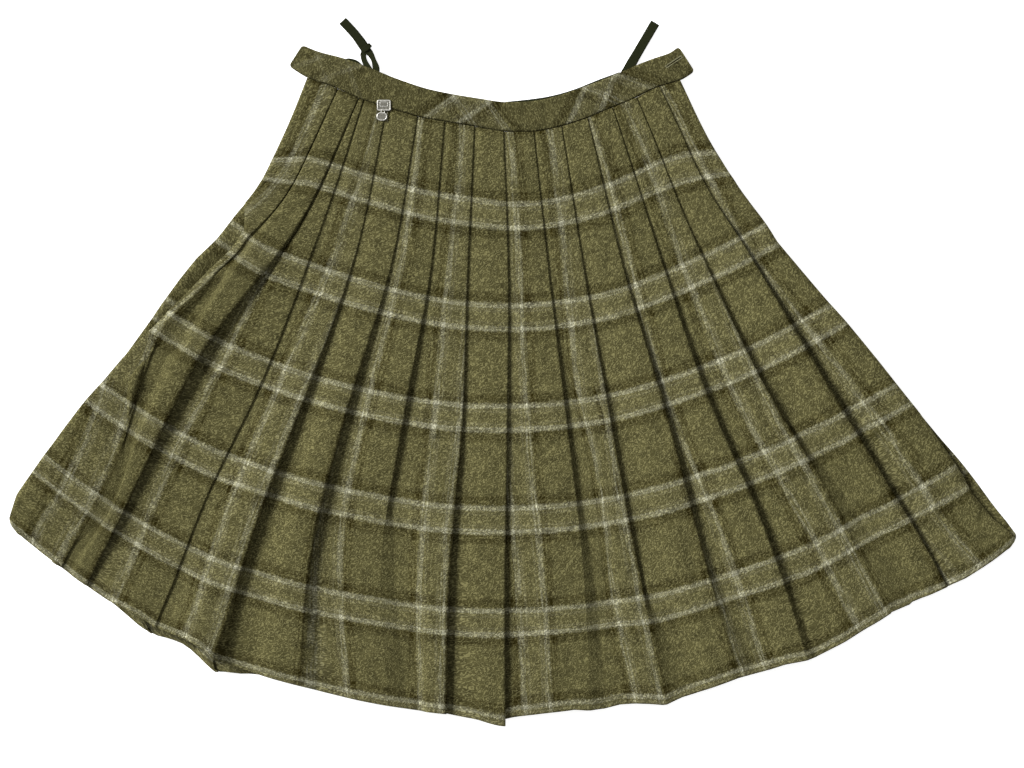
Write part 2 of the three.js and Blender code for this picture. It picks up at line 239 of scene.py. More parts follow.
BAND_COLUMNS = ("x", "y", "width")
BAND = named_rows(BAND_COLUMNS, (
    (-223.3, 305.2, 25),
    (-204, 293.5, 28),
    (-177, 284, 30),
    (-153, 273, 32),
    (-125, 264, 30),
    (-95, 255, 29),
    (-68, 250, 28),
    (-38, 245, 28),
    (-9, 240, 29),
    (23, 240, 30),
    (49, 245, 30),
    (74, 253, 30),
    (98, 263, 29),
    (120, 272, 29),
    (145, 284, 28),
    (168, 291, 29),
    (182.8, 299.8, 29.4),
))
print(len(FRONT_FOLDS), "folds,", len(BAND), "stations of the band")

# %% Reading the rows


def along_fold(row, v):
    """Where a fold or a side edge runs, a share v of the way from waist to hem."""
    places = [row[name] for name in FOLD_COLUMNS[:5]]
    return curve_at(places, clamp(v, 0, 1) * (len(places) - 1))


def form_at(form, name, v, at_seam):
    """A fold's height or softness a share v of the way down, never less than at the seam."""
    values = [at_seam] + [form.get(f"{name}_{place}", at_seam) for place in FOLD_COLUMNS[1:5]]
    return max(curve_at(values, clamp(v, 0, 1) * (len(values) - 1)), at_seam)


def band_at(s):
    """The band's place and width at station s, which may lie between two rows."""
    return {name: curve_at([row[name] for row in BAND], s) for name in BAND_COLUMNS}


def seam_y(x):
    """Where the waist seam runs, read between the band's stations."""
    i = next((k for k, row in enumerate(BAND) if row["x"] > x), len(BAND) - 1) - 1
    i = clamp(i, 0, len(BAND) - 2)
    return band_at(i + (x - BAND[i]["x"]) / (BAND[i + 1]["x"] - BAND[i]["x"]))["y"]


print("middle of the waist seam at y =", round(seam_y(MIDDLE_X), 1), "mm")

# %% [markdown]
# ## Where the cross grain lies
# Fanned out, the threads that run across the skirt lie on circles that open towards the hem.
# Seen in plan, `grain_y` is where the cross grain that is a share `v` of the way down the skirt
# runs at any `x`.

# %% Cross grain of the fanned cloth
GRAIN_RADIUS = (325, 700, -260)  # at the seam, and how it grows with v and with v squared
WIDEST_GRAIN = 0.98  # share of the radius past which the grain is level
SEAM_REACH = 0.3  # down to this share the grain still follows the band's own curve


def grain_arc(x, v):
    radius = GRAIN_RADIUS[0] + GRAIN_RADIUS[1] * v + GRAIN_RADIUS[2] * v * v
    across = min(abs(x - MIDDLE_X), radius * WIDEST_GRAIN)
    return SEAM_HEIGHT - WAIST_TO_HEM * v + radius - math.sqrt(radius**2 - across**2)


def grain_y(x, v):
    seam_fix = seam_y(clamp(x, BAND[1]["x"], BAND[-2]["x"])) - grain_arc(x, 0)
    return grain_arc(x, v) + seam_fix * (1 - smooth(0, SEAM_REACH, v))


print("centre front hem at y =", round(grain_y(0, 1), 1), "mm before it hangs")

# %% [markdown]
# ## The hem's hang and the cloth's slip
# A worn skirt's hem isn't even: it hangs at some folds and is drawn up between others, and its
# cross threads have crept up or down.

# %% Hang, trim and slip
LEFT_HANG, RIGHT_HANG = -11, 13
HEM_HANG = (
    [(LEFT_EDGE["hem"], LEFT_HANG)]
    + [(row["hem"], row["hang"]) for row in FRONT_FOLDS]
    + [(RIGHT_EDGE["hem"], RIGHT_HANG)]
)
SLIP_COLUMNS = ("x", "upper", "middle", "lower")
# how far the cloth's cross threads have crept down (below zero) or up on the front
CROSS_SLIP = named_rows(SLIP_COLUMNS, (
    (-430, 0, -13, -13),
    (-300, 0, -10, -12),
    (-250, -5, -6, -8),
    (-200, 0, -4, -6),
    (-140, 1, -2, -3),
    (-60, -2, -2, -3),
    (20, -3, -1, -2),
    (100, -1, 0, -1),
    (140, 3, 2, -4),
    (190, 7, 4, -2),
    (250, 7, 4, -3),
    (300, 6, 4, -5),
    (350, 4, 1, -3),
    (400, 0, -5, -8),
    (450, 0, -13, -13),
))


def cross_slip(x, v):
    """The upper column holds by a quarter of the way down, the middle one by half, then the lower."""
    upper, middle, lower = (from_table(x, [(row["x"], row[name]) for row in CROSS_SLIP])
                            for name in SLIP_COLUMNS[1:])
    low = lerp(middle, lower, smooth(0.55, 0.9, v))
    slip = lerp(upper, low, smooth(0.25, 0.5, v)) * smooth(0, 0.12, v)
    return slip * (1 - 0.6 * smooth(0.93, 1, v))


# how far the back's hem shows below the front's, low on the left: x, how far
BACK_DROP = ((-405, 0), (-387, 1.5), (-372, 4.5), (-357, 5.6), (-342, 0), (-327, -1), (-312, 5),
             (-297, 12), (-282, 7), (-267, 3.6), (-250, 0))
# how far the hem is drawn up, or hangs, between its folds: x, how far up
HEM_TRIM = ((-40, 0), (-27, 1), (-12, 3), (3, 5), (33, 4.5), (63, 3), (78, -1), (93, 0), (108, 3),
            (123, 3), (138, 1), (153, -2), (168, 1), (260, 1), (273, 2), (303, -2), (333, -2),
            (363, 1), (378, 3), (393, 2), (438, -1), (453, -4), (483, -5), (505, -4))


def panel_y(x, v, drop=0.0):
    hem = from_table(x, HEM_HANG) + drop - from_table(x, HEM_TRIM)
    return grain_y(x, v) - hem * smooth(0.8, 1, v) - 2 * SEAM_GAP * (1 - v)


print("centre front hem at y =", round(panel_y(0, 1), 1), "mm")

# %% [markdown]
# ## One fold in section
# Cloth turns over the fold's ridge, runs back under it and turns again onto the underlay.
# Both bends are arcs and the cloth between them is straight, so two circles and their common
# tangent give the whole fold. Pressed, it turns back under itself; where the pleat has opened,
# its flank slopes away and its valley is a wide soft curve.

# %% The folded section
BEND_STEPS = 5
RISE_STEPS = 9
MOST_LOW = 0.5  # at most this share of the way up to a ridge stays low, in its neighbour's shade
LOW_RUN = 0.5  # of a fold's softness, how much its valley stays low beyond the fold
FACE_STEPS = 6
FLANK_SHARE = 0.45  # how much of a fold's softness widens its flank
VALLEY_BEND = 0.4  # and how much of it rounds the valley
BEND_ROOM = 0.8  # share of the room between them that a fold's two bends may fill
BEYOND_FOLD = 1.4  # a face comes out from under the fold before it this far beyond its ridge
TURNED_EDGE = 4.2  # and this far beyond an edge that is turned down
POINTS_APART = 0.8  # least distance between neighbouring points of a section
FACE_LOW = 0.1  # height at which a face comes out


def tuck_of(width):
    return clamp((CLOTH_PER_PLEAT - width) / 2, LEAST_TUCK, max(width - 5, LEAST_TUCK))


def fold_points(x, tuck, height, soft):
    ridge_bend = height / 4
    # the two bends may not meet, or no straight cloth would join them
    room = tuck + height - math.sqrt(2 * tuck * height) if tuck > 0 else height - 2 * tuck
    valley_bend = min(height / 4 + VALLEY_BEND * soft, BEND_ROOM * room - ridge_bend)
    ridge = (x - ridge_bend, height - ridge_bend)
    valley = (x - tuck + valley_bend, valley_bend)
    dx, dz = valley[0] - ridge[0], valley[1] - ridge[1]
    turn = math.atan2(dz, dx) - math.asin(min((ridge_bend + valley_bend) / math.hypot(dx, dz), 1))
    if turn > 0:
        turn -= 2 * math.pi
    angles = [turn * k / BEND_STEPS for k in range(BEND_STEPS + 1)]
    over = [(ridge[0] - ridge_bend * math.sin(a), ridge[1] + ridge_bend * math.cos(a)) for a in angles]
    under = [(valley[0] + valley_bend * math.sin(a), valley[1] - valley_bend * math.cos(a))
             for a in reversed(angles)]
    middle = ((over[-1][0] + under[0][0]) / 2, (over[-1][1] + under[0][1]) / 2)
    return over + [middle] + under


def rising_face(start, x, tuck, height, flat_share, width, low_run):
    """From where the cloth comes out under the last fold up to the next ridge."""
    rise = max(x - max(tuck + 1.6, flat_share * width), start + POINTS_APART)
    level = 1.0 if flat_share > 0.5 else lerp(1, 0.94, smooth(0, 30, rise - start))
    low_share = min(low_run / (rise - start), MOST_LOW)
    points = []
    for k in range(RISE_STEPS):
        t = k / RISE_STEPS
        lifted = lerp(t, smooth(0, 1, t), 0.8) if low_share < 0.05 else smooth(low_share, 1, t)
        points.append((lerp(start, rise, t), lerp(FACE_LOW, height * level, lifted)))
    ridge_start = x - height / 4
    for k in range(FACE_STEPS):
        t = k / FACE_STEPS
        points.append((lerp(rise, ridge_start, t), height * lerp(level, 1, t)))
    return points


def pleat_section(left, folds, heights, softness, right, flat_share, edges):
    """Section of a pleated panel, with the places in it of each ridge and of each emerging face."""
    points = list(edges["left"](left, heights[0]))
    noses, comings = [], [0]
    start = left + (TURNED_EDGE if len(points) > 1 else BEYOND_FOLD)
    previous = left
    for i, x in enumerate(folds):
        width = x - previous
        tuck = tuck_of(width) - FLANK_SHARE * softness[i]
        if i > 0:
            start = max(previous + BEYOND_FOLD, points[-1][0] + POINTS_APART)
            comings.append(len(points))
        low_run = LOW_RUN * softness[i - 1] if i > 0 else 0
        face = rising_face(start, x, tuck, heights[i], flat_share, width, low_run)
        if i == 0:
            face = [(px, max(pz, edges["first"] * heights[0])) for px, pz in face]
        points += face
        noses.append(len(points) + BEND_STEPS // 2)
        points += fold_points(x, tuck, heights[i], softness[i])
        previous = x
    comings.append(len(points))
    previous = max(previous, points[-1][0] - 0.6)
    points.append((previous + BEYOND_FOLD, FACE_LOW))
    points += edges["right"](right, heights[-1], previous)
    return points, noses, comings


print("points in a pressed fold:", len(fold_points(0, CLOTH_PER_PLEAT / 2, PRESSED_HEIGHT, 0)))

# %% [markdown]
# ## The panels' side edges
# The front's edges turn down to the surface and hold a small gap from the back. The back is
# plain there. Between the places of their rows both sides swell, and the front's are drawn
# back where the back shows beside them.

# %% Edges of the two panels
EDGE_LOW = WALL + SEAM_GAP - FRONT_REST  # height of the turned edge, from the front's rest
LEFT_TURN = ((1.1, 0), (1.9, 0.45), (3.4, 0.75))  # in from the edge, and share of the height
RIGHT_TURN = ((3, 0.5), (1.6, 0.25), (1.1, 0))
RIGHT_ROUND = (0.15, 0.3, 0.45, 0.6, 0.75, 0.88, 1.0)


def front_left(x, height):
    return [(x + 1, EDGE_LOW)] + [(x + into, share * height) for into, share in LEFT_TURN]


def front_right(x, height, previous):
    top = max(x - 5, previous + 2.4)
    rounded = [(lerp(previous + BEYOND_FOLD, top, t),
                height * 0.6 * math.sin(math.pi / 2 * min(t * 1.3, 1))) for t in RIGHT_ROUND]
    return rounded + [(x - into, share * height) for into, share in RIGHT_TURN] + [(x - 1, EDGE_LOW)]


def back_right(x, height, previous):
    wide = max(previous + 5, x - 30)
    return [(lerp(wide, x - WALL / 2, t), height) for t in (0, 0.3, 0.6, 0.85, 1)]


FRONT_EDGES = {"left": front_left, "right": front_right, "first": 0.8}
BACK_EDGES = {
    "left": lambda x, height: [(x + WALL / 2, height)],
    "right": back_right,
    "first": 1.0,
}

# how far the front's side edges draw back from the back's, by share of the way down
LEFT_DRAWN_BACK = ((0.24, 0), (0.29, 14), (0.32, 15), (0.35, 15), (0.385, 14), (0.435, 11.5),
                   (0.465, 9), (0.51, 5.5), (0.56, 2), (0.6, 0))
RIGHT_DRAWN_BACK = ((0.71, 0), (0.8, 3.3), (0.85, 5.7), (0.885, 8.5), (0.94, 7), (0.98, 3), (1, 1.5))
# how far the side edges swell out (or in) between the five places of their rows
LEFT_SWELL = ((0, 2.5), (0.057, 5), (0.09, 6.5), (0.125, 7), (0.17, 5.5), (0.226, 3.5), (0.29, 1.5),
              (0.33, 1.5), (0.375, 4), (0.42, 3.5), (0.467, 2), (0.51, 0.5), (0.6, -1), (0.65, -0.5),
              (0.7, 1.3), (0.745, 2), (0.79, 3.3), (0.835, 5.2), (0.886, 6), (0.938, 6.5), (0.985, 2), (1, 0))
RIGHT_SWELL = ((0, 1), (0.057, 3), (0.086, 4.3), (0.12, 6.3), (0.16, 7), (0.21, 5), (0.27, 1.5),
               (0.315, -1), (0.36, -0.5), (0.45, 0), (0.5, 1.3), (0.59, 2), (0.78, 1.5), (0.83, 2),
               (0.87, 2.6), (0.915, 3.3), (0.96, 4.6), (1, 4))
LEFT_CORNER = 9  # radii of the hem's two bottom corners
RIGHT_CORNER = 8
SEAM_TO_HEM_THREADS = 592  # cloth from the waist seam to the hem edge


def corner_in(radius, v):
    near = clamp(radius - (1 - v) * SEAM_TO_HEM_THREADS, 0, radius)
    return radius - math.sqrt(radius**2 - near**2)


def left_side(v):
    return along_fold(LEFT_EDGE, v) - from_table(v, LEFT_SWELL) + corner_in(LEFT_CORNER, v)


def right_side(v):
    return along_fold(RIGHT_EDGE, v) + from_table(v, RIGHT_SWELL) - corner_in(RIGHT_CORNER, v)


print("hem", round(right_side(1) - left_side(1)), "mm wide as it lies")

# %% [markdown]
# ## Threads
# The check has to run through the folds as it does in woven cloth, so each point of the shell
# keeps two thread coordinates: millimetres across the cloth and millimetres down from the
# seam. On a visible face they are counted back from its fold, and what is left over is taken
# up out of sight, under the fold before it.

# %% Thread coordinates across the cloth
FIRST_THREAD = -0.5  # the thread at the first fold's ridge at the waist
EDGE_SLIP = 18  # how far the cloth slips at the side edge beyond the last fold


def ridge_thread(i, v):
    slip = FRONT_FOLDS[i]["slip"] if i < len(FRONT_FOLDS) else EDGE_SLIP
    return FIRST_THREAD + CLOTH_PER_PLEAT * i + slip * smooth(0, 0.62, v)


def threads_across(points, noses, comings, v):
    xz = np.array(points)
    run = np.concatenate([[0], np.cumsum(np.hypot(*np.diff(xz, axis=0).T))])
    thread = np.zeros(len(points))
    first = noses[0]
    thread[: first + 1] = ridge_thread(0, v) - (run[first] - run[: first + 1])
    ends = noses + [len(points) - 1]
    for i in range(1, len(ends)):
        a, b = ends[i - 1], ends[i]
        s = run[a : b + 1] - run[a]
        near = ridge_thread(i - 1, v) + s
        far = ridge_thread(i, v) - (s[-1] - s)
        spread = max(run[comings[i]] - run[a], min(0.85 * s[-1], 2.2 * abs(far[0] - near[0])), 1e-6)
        w = np.clip(s / spread, 0, 1)
        thread[a : b + 1] = (1 - w) * near + w * far
    return thread


print("threads counted over", CLOTH_PER_PLEAT * (len(FRONT_FOLDS) + 1), "mm of cloth")

# %% [markdown]
# ## The panels as grids of points
# Each panel is a grid: a row of points for every level from waist to hem, and the same fold's
# points in the same column of each row. The rows lie closer near the hem, where the cloth has
# its smallest forms: folds whose corner hangs low, and a stretch that has ridden up.

# %% Grids of points for the two panels
# where the front's hem has ridden up off the back's, low on the left: x, how far up, how high
HEM_LIFT = ((-405, 0, 0), (-387, 2.7, 3), (-372, 4.5, 5), (-357, 3, 5), (-342, 5, 6), (-327, 7.5, 6.5),
            (-312, 7, 7.5), (-303, 4, 7), (-297, 0.5, 6), (-280, 0, 2), (-262, 0, 0))


def hem_lift(x, v):
    """How far the front's hem is drawn up the skirt and stands off the back, at this place."""
    if v < 0.9:
        return 0.0, 0.0
    xs, ups, highs = zip(*HEM_LIFT)
    near_hem = smooth(0.9, 1, v)
    return float(np.interp(x, xs, ups)) * near_hem, float(np.interp(x, xs, highs)) * near_hem


FRONT_ROWS = (108, 16)
BACK_ROWS = (58, 16)
HEM_ZONE = 0.95  # from here down the rows lie closer, for the hem's small forms
LEAST_FIRST_FACE = 6.5  # cloth always seen between the front's left edge and its first fold
HEM_TIPS = {7: 6.5, 12: 3}  # folds whose corner hangs below its neighbour's hem, and how far
TIP_WIDTH = 34  # how far back from the fold its face hangs with it
BACK_ROLL = 7.5  # how high the back's hem rolls up where it shows
DARK_GAP = 3  # how much of what shows of it stays low


def tip_drops(points, noses, comings, folds, v):
    """How far each point of a row hangs lower, towards the corners of the folds in HEM_TIPS."""
    drops = np.zeros(len(points))
    for i, drop in HEM_TIPS.items():
        nose, end = noses[i], comings[i + 1]
        for k in range(comings[i], nose + 1):
            drops[k] = drop * smooth(folds[i] - TIP_WIDTH, folds[i], points[k][0])
        for k in range(nose + 1, end):
            drops[k] = drop * (1 - (k - nose) / (end - nose))
    return drops * smooth(0.93, 1, v)


def row_levels(counts):
    coarse, fine = counts
    upper = [HEM_ZONE * k / coarse for k in range(coarse)]
    return upper + [lerp(HEM_ZONE, 1, k / (fine - 1)) for k in range(fine)]


def front_grid():
    grid, threads = [], []
    for v in row_levels(FRONT_ROWS):
        left = left_side(v) + from_table(v, LEFT_DRAWN_BACK)
        right = right_side(v) - from_table(v, RIGHT_DRAWN_BACK)
        folds = [along_fold(row, v) for row in FRONT_FOLDS]
        folds[0] = max(folds[0], left + LEAST_FIRST_FACE)
        heights = [form_at(form, "stand", v, SEAM_STAND) for form in FOLD_FORMS]
        softness = [form_at(form, "soft", v, 0) for form in FOLD_FORMS]
        points, noses, comings = pleat_section(left, folds, heights, softness, right, 0.3, FRONT_EDGES)
        across = threads_across(points, noses, comings, v)
        base = FRONT_REST + (PRESSED_HEIGHT - SEAM_STAND) * (1 - smooth(0, 0.4, v))
        drops = tip_drops(points, noses, comings, folds, v)
        row = []
        for (x, z), drop in zip(points, drops):
            up, high = hem_lift(x, v)
            row.append((x, panel_y(x, v) + up - drop, base + z + high))
        grid.append(row)
        threads.append([(u, v * SEAM_TO_HEM_THREADS + cross_slip(x, v))
                        for u, (x, z) in zip(across, points)])
    return np.array(grid), np.array(threads)


def back_roll(x, v):
    """Where the front's hem has ridden up, the back's hem rolls up beyond a dark gap."""
    shown = hem_lift(x, 1)[0] + from_table(x, BACK_DROP)
    from_edge = (1 - v) * SEAM_TO_HEM_THREADS
    return BACK_ROLL * smooth(0, 2, shown - DARK_GAP - from_edge)


def back_grid():
    count = len(FRONT_FOLDS)
    grid, threads = [], []
    for v in row_levels(BACK_ROWS):
        left, right = -right_side(v), -left_side(v)
        folds = [lerp(left, right, (i + 1) / (count + 1)) for i in range(count)]
        points, noses, comings = pleat_section(
            left, folds, [PRESSED_HEIGHT] * count, [0] * count, right, 0.75, BACK_EDGES
        )
        across = threads_across(points, noses, comings, v)
        top = WALL / 2 + PRESSED_HEIGHT
        grid.append([(-x, panel_y(-x, v, from_table(-x, BACK_DROP)), top - z + back_roll(-x, v))
                     for x, z in points])
        threads.append([(u, v * SEAM_TO_HEM_THREADS) for u in across])
    return np.array(grid), np.array(threads)


front_points, front_threads = front_grid()
back_points, back_threads = back_grid()
print("front grid", front_points.shape, "back grid", back_points.shape)

# %% [markdown]
# ## Creases
# Wool that has lain folded keeps soft troughs and ridges that belong to no pleat. They are
# listed one by one: where each runs from and to, how wide it is and how deep.

# %% Creases, listed one by one
CREASE_COLUMNS = ("x_from", "y_from", "x_to", "y_to", "width", "rise")
FRONT_CREASES = named_rows(CREASE_COLUMNS, (
    (-312, 112, -470, -100, 55, 5.5),
    (-272, 106, -300, 92, 5, 3.0),
    (-300, 92, -348, 44, 5, 3.5),
    (-240, 106, -262, 72, 6, -2.6),
    (-250, 90, -244, 78, 1.8, 1.0),
    (-245, 98, -237, 87, 1.8, 0.8),
    (-262, 78, -255, 66, 1.8, 0.9),
    (-300, 20, -320, -20, 9, -2.4),
    (-196, 74, -208, 20, 8, -1.6),
    (-340, -62, -366, -110, 12, 1.6),
    (-372, -150, -394, -190, 11, -1.8),
    (-132, -40, -140, -95, 9, 1.2),
    (-246, -196, -262, -236, 10, 1.4),
    (-100, -262, -104, -318, 10, -1.4),
    (-24, -120, -26, -200, 9, 0.8),
    (38, -262, 46, -325, 9, 1.3),
    (60, -110, 74, -170, 8, -1.2),
    (122, -190, 130, -240, 8, -1.8),
    (172, -150, 188, -212, 8, -2.4),
    (252, -8, 268, -48, 4, 1.6),
    (244, -18, 258, -62, 5, -1.8),
    (264, -32, 282, -68, 4, -1.4),
    (212, -238, 224, -292, 10, 1.6),
    (322, -120, 354, -190, 10, -2.0),
    (398, -138, 428, -186, 9, 1.4),
))
BACK_CREASES = named_rows(CREASE_COLUMNS, (
    (-312, 112, -470, -100, 55, 3.6),
    (-299, 128, -324, 98, 14, 9.0),
    (-324, 98, -350, 66, 12, 8.0),
    (-350, 66, -376, 28, 8, 6.0),
    (-330, -60, -372, -130, 12, 1.2),
    (-214, -10, -236, -90, 9, 0.9),
    (-120, -150, -134, -240, 11, 1.3),
    (-12, -60, -10, -150, 9, 0.8),
    (66, -180, 74, -262, 12, 1.2),
    (168, -40, 196, -128, 10, 1.0),
    (262, -90, 300, -170, 12, 1.3),
    (362, -130, 402, -190, 10, 0.9),
))


def creased(points, creases):
    """Raises or lowers a grid of points along each crease, fading away from its line."""
    flat = points.reshape(-1, 3)
    for crease in creases:
        start = np.array((crease["x_from"], crease["y_from"]))
        along = np.array((crease["x_to"], crease["y_to"])) - start
        share = np.clip((flat[:, :2] - start) @ along / (along @ along), 0, 1)
        off = np.linalg.norm(flat[:, :2] - start - share[:, None] * along, axis=1)
        swell = 0.55 + 0.45 * np.sin(math.pi * share)
        flat[:, 2] += crease["rise"] * swell * np.exp(-((off / crease["width"]) ** 2))
    return flat.reshape(points.shape)


def unevenness(points, amount):
    """A slow rise and fall of the cloth, a few centimetres across."""
    x, y = points[..., 0], points[..., 1]
    waves = (np.sin(x * 0.061 + 1.3 * np.sin(y * 0.021)) * np.sin(y * 0.047 + 0.9)
             + 0.6 * np.sin(x * 0.113 - y * 0.071 + 2.0))
    points[..., 2] += amount * waves
    return points


UNEVEN = 0.28  # how far the front's slow unevenness rises and falls
front_points = unevenness(creased(front_points, FRONT_CREASES), UNEVEN)
back_points = creased(back_points, BACK_CREASES)
print("front stands up to", round(float(front_points[..., 2].max()), 1), "mm")

# %% [markdown]
# ## From a grid to a cloth shell
# A grid of points becomes a surface of four-sided faces. Its thread coordinates are kept as a
# UV map called `threads`. Solidify gives the surface the cloth's thickness, and the thickened
# mesh then replaces the thin one.

# %% Meshes from grids
CLOTH_WALL = 1.25  # a little under the solids' wall


def grid_mesh(name, points, threads, flip=False):
    rows, columns = points.shape[:2]
    ids = np.arange(rows * columns).reshape(rows, columns)
    quads = np.stack([ids[:-1, :-1], ids[1:, :-1], ids[1:, 1:], ids[:-1, 1:]], axis=-1).reshape(-1, 4)
    if flip:
        quads = quads[:, ::-1]
    mesh = bpy.data.meshes.new(name)
    mesh.from_pydata((points.reshape(-1, 3) * MM).tolist(), [], quads.tolist())
    uv = mesh.uv_layers.new(name="threads")
    uv.data.foreach_set("uv", (threads.reshape(-1, 2)[quads.reshape(-1)] * MM).ravel())
    mesh.shade_smooth()
    return placed(name, mesh)


def thicken(piece, wall):
    solid = piece.modifiers.new("wall", "SOLIDIFY")
    solid.thickness = wall * MM
    solid.offset = 0.0
    mesh = final_mesh(piece)
    piece.modifiers.clear()
    mesh.name = piece.name
    piece.data = mesh
    print(piece.name, len(mesh.polygons), "faces")


front = grid_mesh("skirt_front", front_points, front_threads)
thicken(front, CLOTH_WALL)
back = grid_mesh("skirt_back", back_points, back_threads, flip=True)
thicken(back, CLOTH_WALL)

# %% [markdown]
# ## The waistband
# A curved band, cut on the bias so that it bends round the waist: its check runs at 45
# degrees. The front half lies on the pleats and turns down at both ends to the back half.

# %% Waistband, front and back
BAND_WALL = 3.0
BAND_REST = FRONT_REST + 1.2  # the front half's underside, over the pleats
BAND_TURN = 22.4  # along its ends, the front half's way down to the back half
BAND_STEPS = 6
BIAS = 0.7071  # a thread's share of the way along a band cut at 45 degrees
# across the band: share of its width, and height of its outside over the middle of the wall
BAND_CROWN = ((0, 0.2), (0.015, 0.62), (0.05, 0.9), (0.12, 1), (0.3, 1.06), (0.5, 1.08),
              (0.7, 1.06), (0.88, 1), (0.95, 0.9), (0.985, 0.62), (1, 0.2))
BIAS_CROSS_X = (-35, -56)  # where a stripe group of each direction crosses the band's middle
END_ROUND = 3.5  # radius of the corners of the band's ends
END_SHARES = (0.01, 0.03, 0.06, 0.1)  # extra stations that draw those corners


def band_up(s):
    """The direction across the band, towards its top edge."""
    a, b = band_at(max(s - 0.7, 0)), band_at(min(s + 0.7, len(BAND) - 1))
    up = Vector((a["y"] - b["y"], b["x"] - a["x"]))
    return up.normalized()


def front_band_height(x):
    from_end = min(x - BAND[0]["x"], BAND[-1]["x"] - x)
    low = BAND_WALL + SEAM_GAP + BAND_WALL / 2
    return lerp(low, BAND_REST + BAND_WALL / 2, smooth(0, BAND_TURN, from_end))


def band_stations():
    """Stations along the band, closer at its rounded ends, with the length run to each."""
    last = len(BAND) - 1
    places = sorted({k / BAND_STEPS for k in range(last * BAND_STEPS + 1)}
                    | set(END_SHARES) | {last - share for share in END_SHARES})
    run, lengths, before = 0.0, [], None
    for s in places:
        row = band_at(s)
        here = Vector((row["x"], row["y"]))
        run += (here - before).length if before else 0.0
        before = here
        lengths.append(run)
    return places, lengths


def band_run_at(x):
    places, lengths = band_stations()
    return float(np.interp(x, [band_at(s)["x"] for s in places], lengths))


def corner_inset(from_end):
    near = clamp(END_ROUND - from_end, 0, END_ROUND)
    return END_ROUND - math.sqrt(END_ROUND**2 - near**2)


def band_piece(name, height_at, flat_under):
    places, lengths = band_stations()
    middle = BAND[len(BAND) // 2]["width"] / 2
    phases = (-(band_run_at(BIAS_CROSS_X[0]) + middle) * BIAS,
              FIRST_BAND_DOWN - (band_run_at(BIAS_CROSS_X[1]) - middle) * BIAS)
    under = [(share, -1.0 if flat_under else -half) for share, half in reversed(BAND_CROWN)]
    ring = list(BAND_CROWN) + under
    points, threads = [], []
    for s, length in zip(places, lengths):
        row, up = band_at(s), band_up(s)
        inset = corner_inset(min(length, lengths[-1] - length))
        line, line_threads = [], []
        for share, half in ring + ring[:1]:
            across = clamp(share * row["width"], inset, row["width"] - inset)
            line.append((row["x"] + up.x * across, row["y"] + up.y * across,
                         height_at(row["x"]) + half * BAND_WALL / 2))
            line_threads.append(((length + across) * BIAS + phases[0],
                                 (length - across) * BIAS + phases[1]))
        points.append(line)
        threads.append(line_threads)
    piece = grid_mesh(name, np.array(points), np.array(threads), flip=True)
    close_tube(piece)
    return piece


def close_tube(piece):
    """Joins the tube's first and last columns and caps its two ends."""
    work = bmesh.new()
    work.from_mesh(piece.data)
    bmesh.ops.remove_doubles(work, verts=work.verts, dist=1e-6)
    bmesh.ops.holes_fill(work, edges=[e for e in work.edges if e.is_boundary])
    bmesh.ops.recalc_face_normals(work, faces=work.faces)
    work.to_mesh(piece.data)
    work.free()
    piece.data.shade_smooth()


band_front = band_piece("band_front", front_band_height, False)
band_back = band_piece("band_back", lambda x: BAND_WALL / 2, True)
print("band pieces", len(band_front.data.polygons), len(band_back.data.polygons), "faces")

# %% [markdown]
# ## Ribbons
# The hanging loops and the tape inside the waistband are flat woven ribbon. Each is a strip
# that follows stations with a width and a heading, smoothed between them. A loop is one strip:
# out along its lower leg, over the tip, and home on top. A turn of ribbon binds the left one.

# %% Ribbon strips
RIBBON = 0.9  # thickness
RIBBON_PLY = 1.2  # from one leg of a loop up to the other
RIBBON_LOW = RIBBON / 2 + 0.15  # middle of a ribbon that lies on the floor
TAPE_REST = BAND_WALL + SEAM_GAP + RIBBON / 2
UNDER_BAND = TAPE_REST + RIBBON + SEAM_GAP
RIBBON_STEPS = 6
RIBBON_ACROSS = 9


def heading_at(leg, i):
    a, b = leg[max(i - 1, 0)], leg[min(i + 1, len(leg) - 1)]
    return math.atan2(b[1] - a[1], b[0] - a[0])


def ribbon_piece(name, stations):
    """stations: rows of x, y, z, width and heading, smoothed into a strip."""
    columns = list(zip(*stations))
    count = (len(stations) - 1) * RIBBON_STEPS + 1
    points, threads, run = [], [], 0.0
    before = None
    for k in range(count):
        x, y, z, width, heading = (curve_at(column, k / RIBBON_STEPS) for column in columns)
        here = Vector((x, y, z))
        run += (here - before).length if before else 0.0
        before = here
        side = Vector((-math.sin(heading), math.cos(heading), 0))
        line, line_threads = [], []
        for j in range(RIBBON_ACROSS):
            t = j / (RIBBON_ACROSS - 1) - 0.5
            line.append(tuple(here + side * (t * width)))
            line_threads.append((t * width, run))
        points.append(line)
        threads.append(line_threads)
    piece = grid_mesh(name, np.array(points), np.array(threads), flip=True)
    thicken(piece, wall=RIBBON)
    return piece


def loop_stations(lower, upper):
    """One leg out to the tip, over it, and the other leg back on top."""
    tip = lower[-1]
    end = heading_at(lower, len(lower) - 1)
    reach = RIBBON_PLY * 0.5
    turn = (tip[0] + math.cos(end) * reach, tip[1] + math.sin(end) * reach,
            tip[2] + RIBBON_PLY / 2, tip[3], end)
    out = [(*row, heading_at(lower, i)) for i, row in enumerate(lower)]
    home = [(*row, heading_at(upper, i)) for i, row in enumerate(upper)]
    return out + [turn] + home[::-1]


def raised(leg):
    return [(x, y, z + RIBBON_PLY, width) for x, y, z, width in leg]


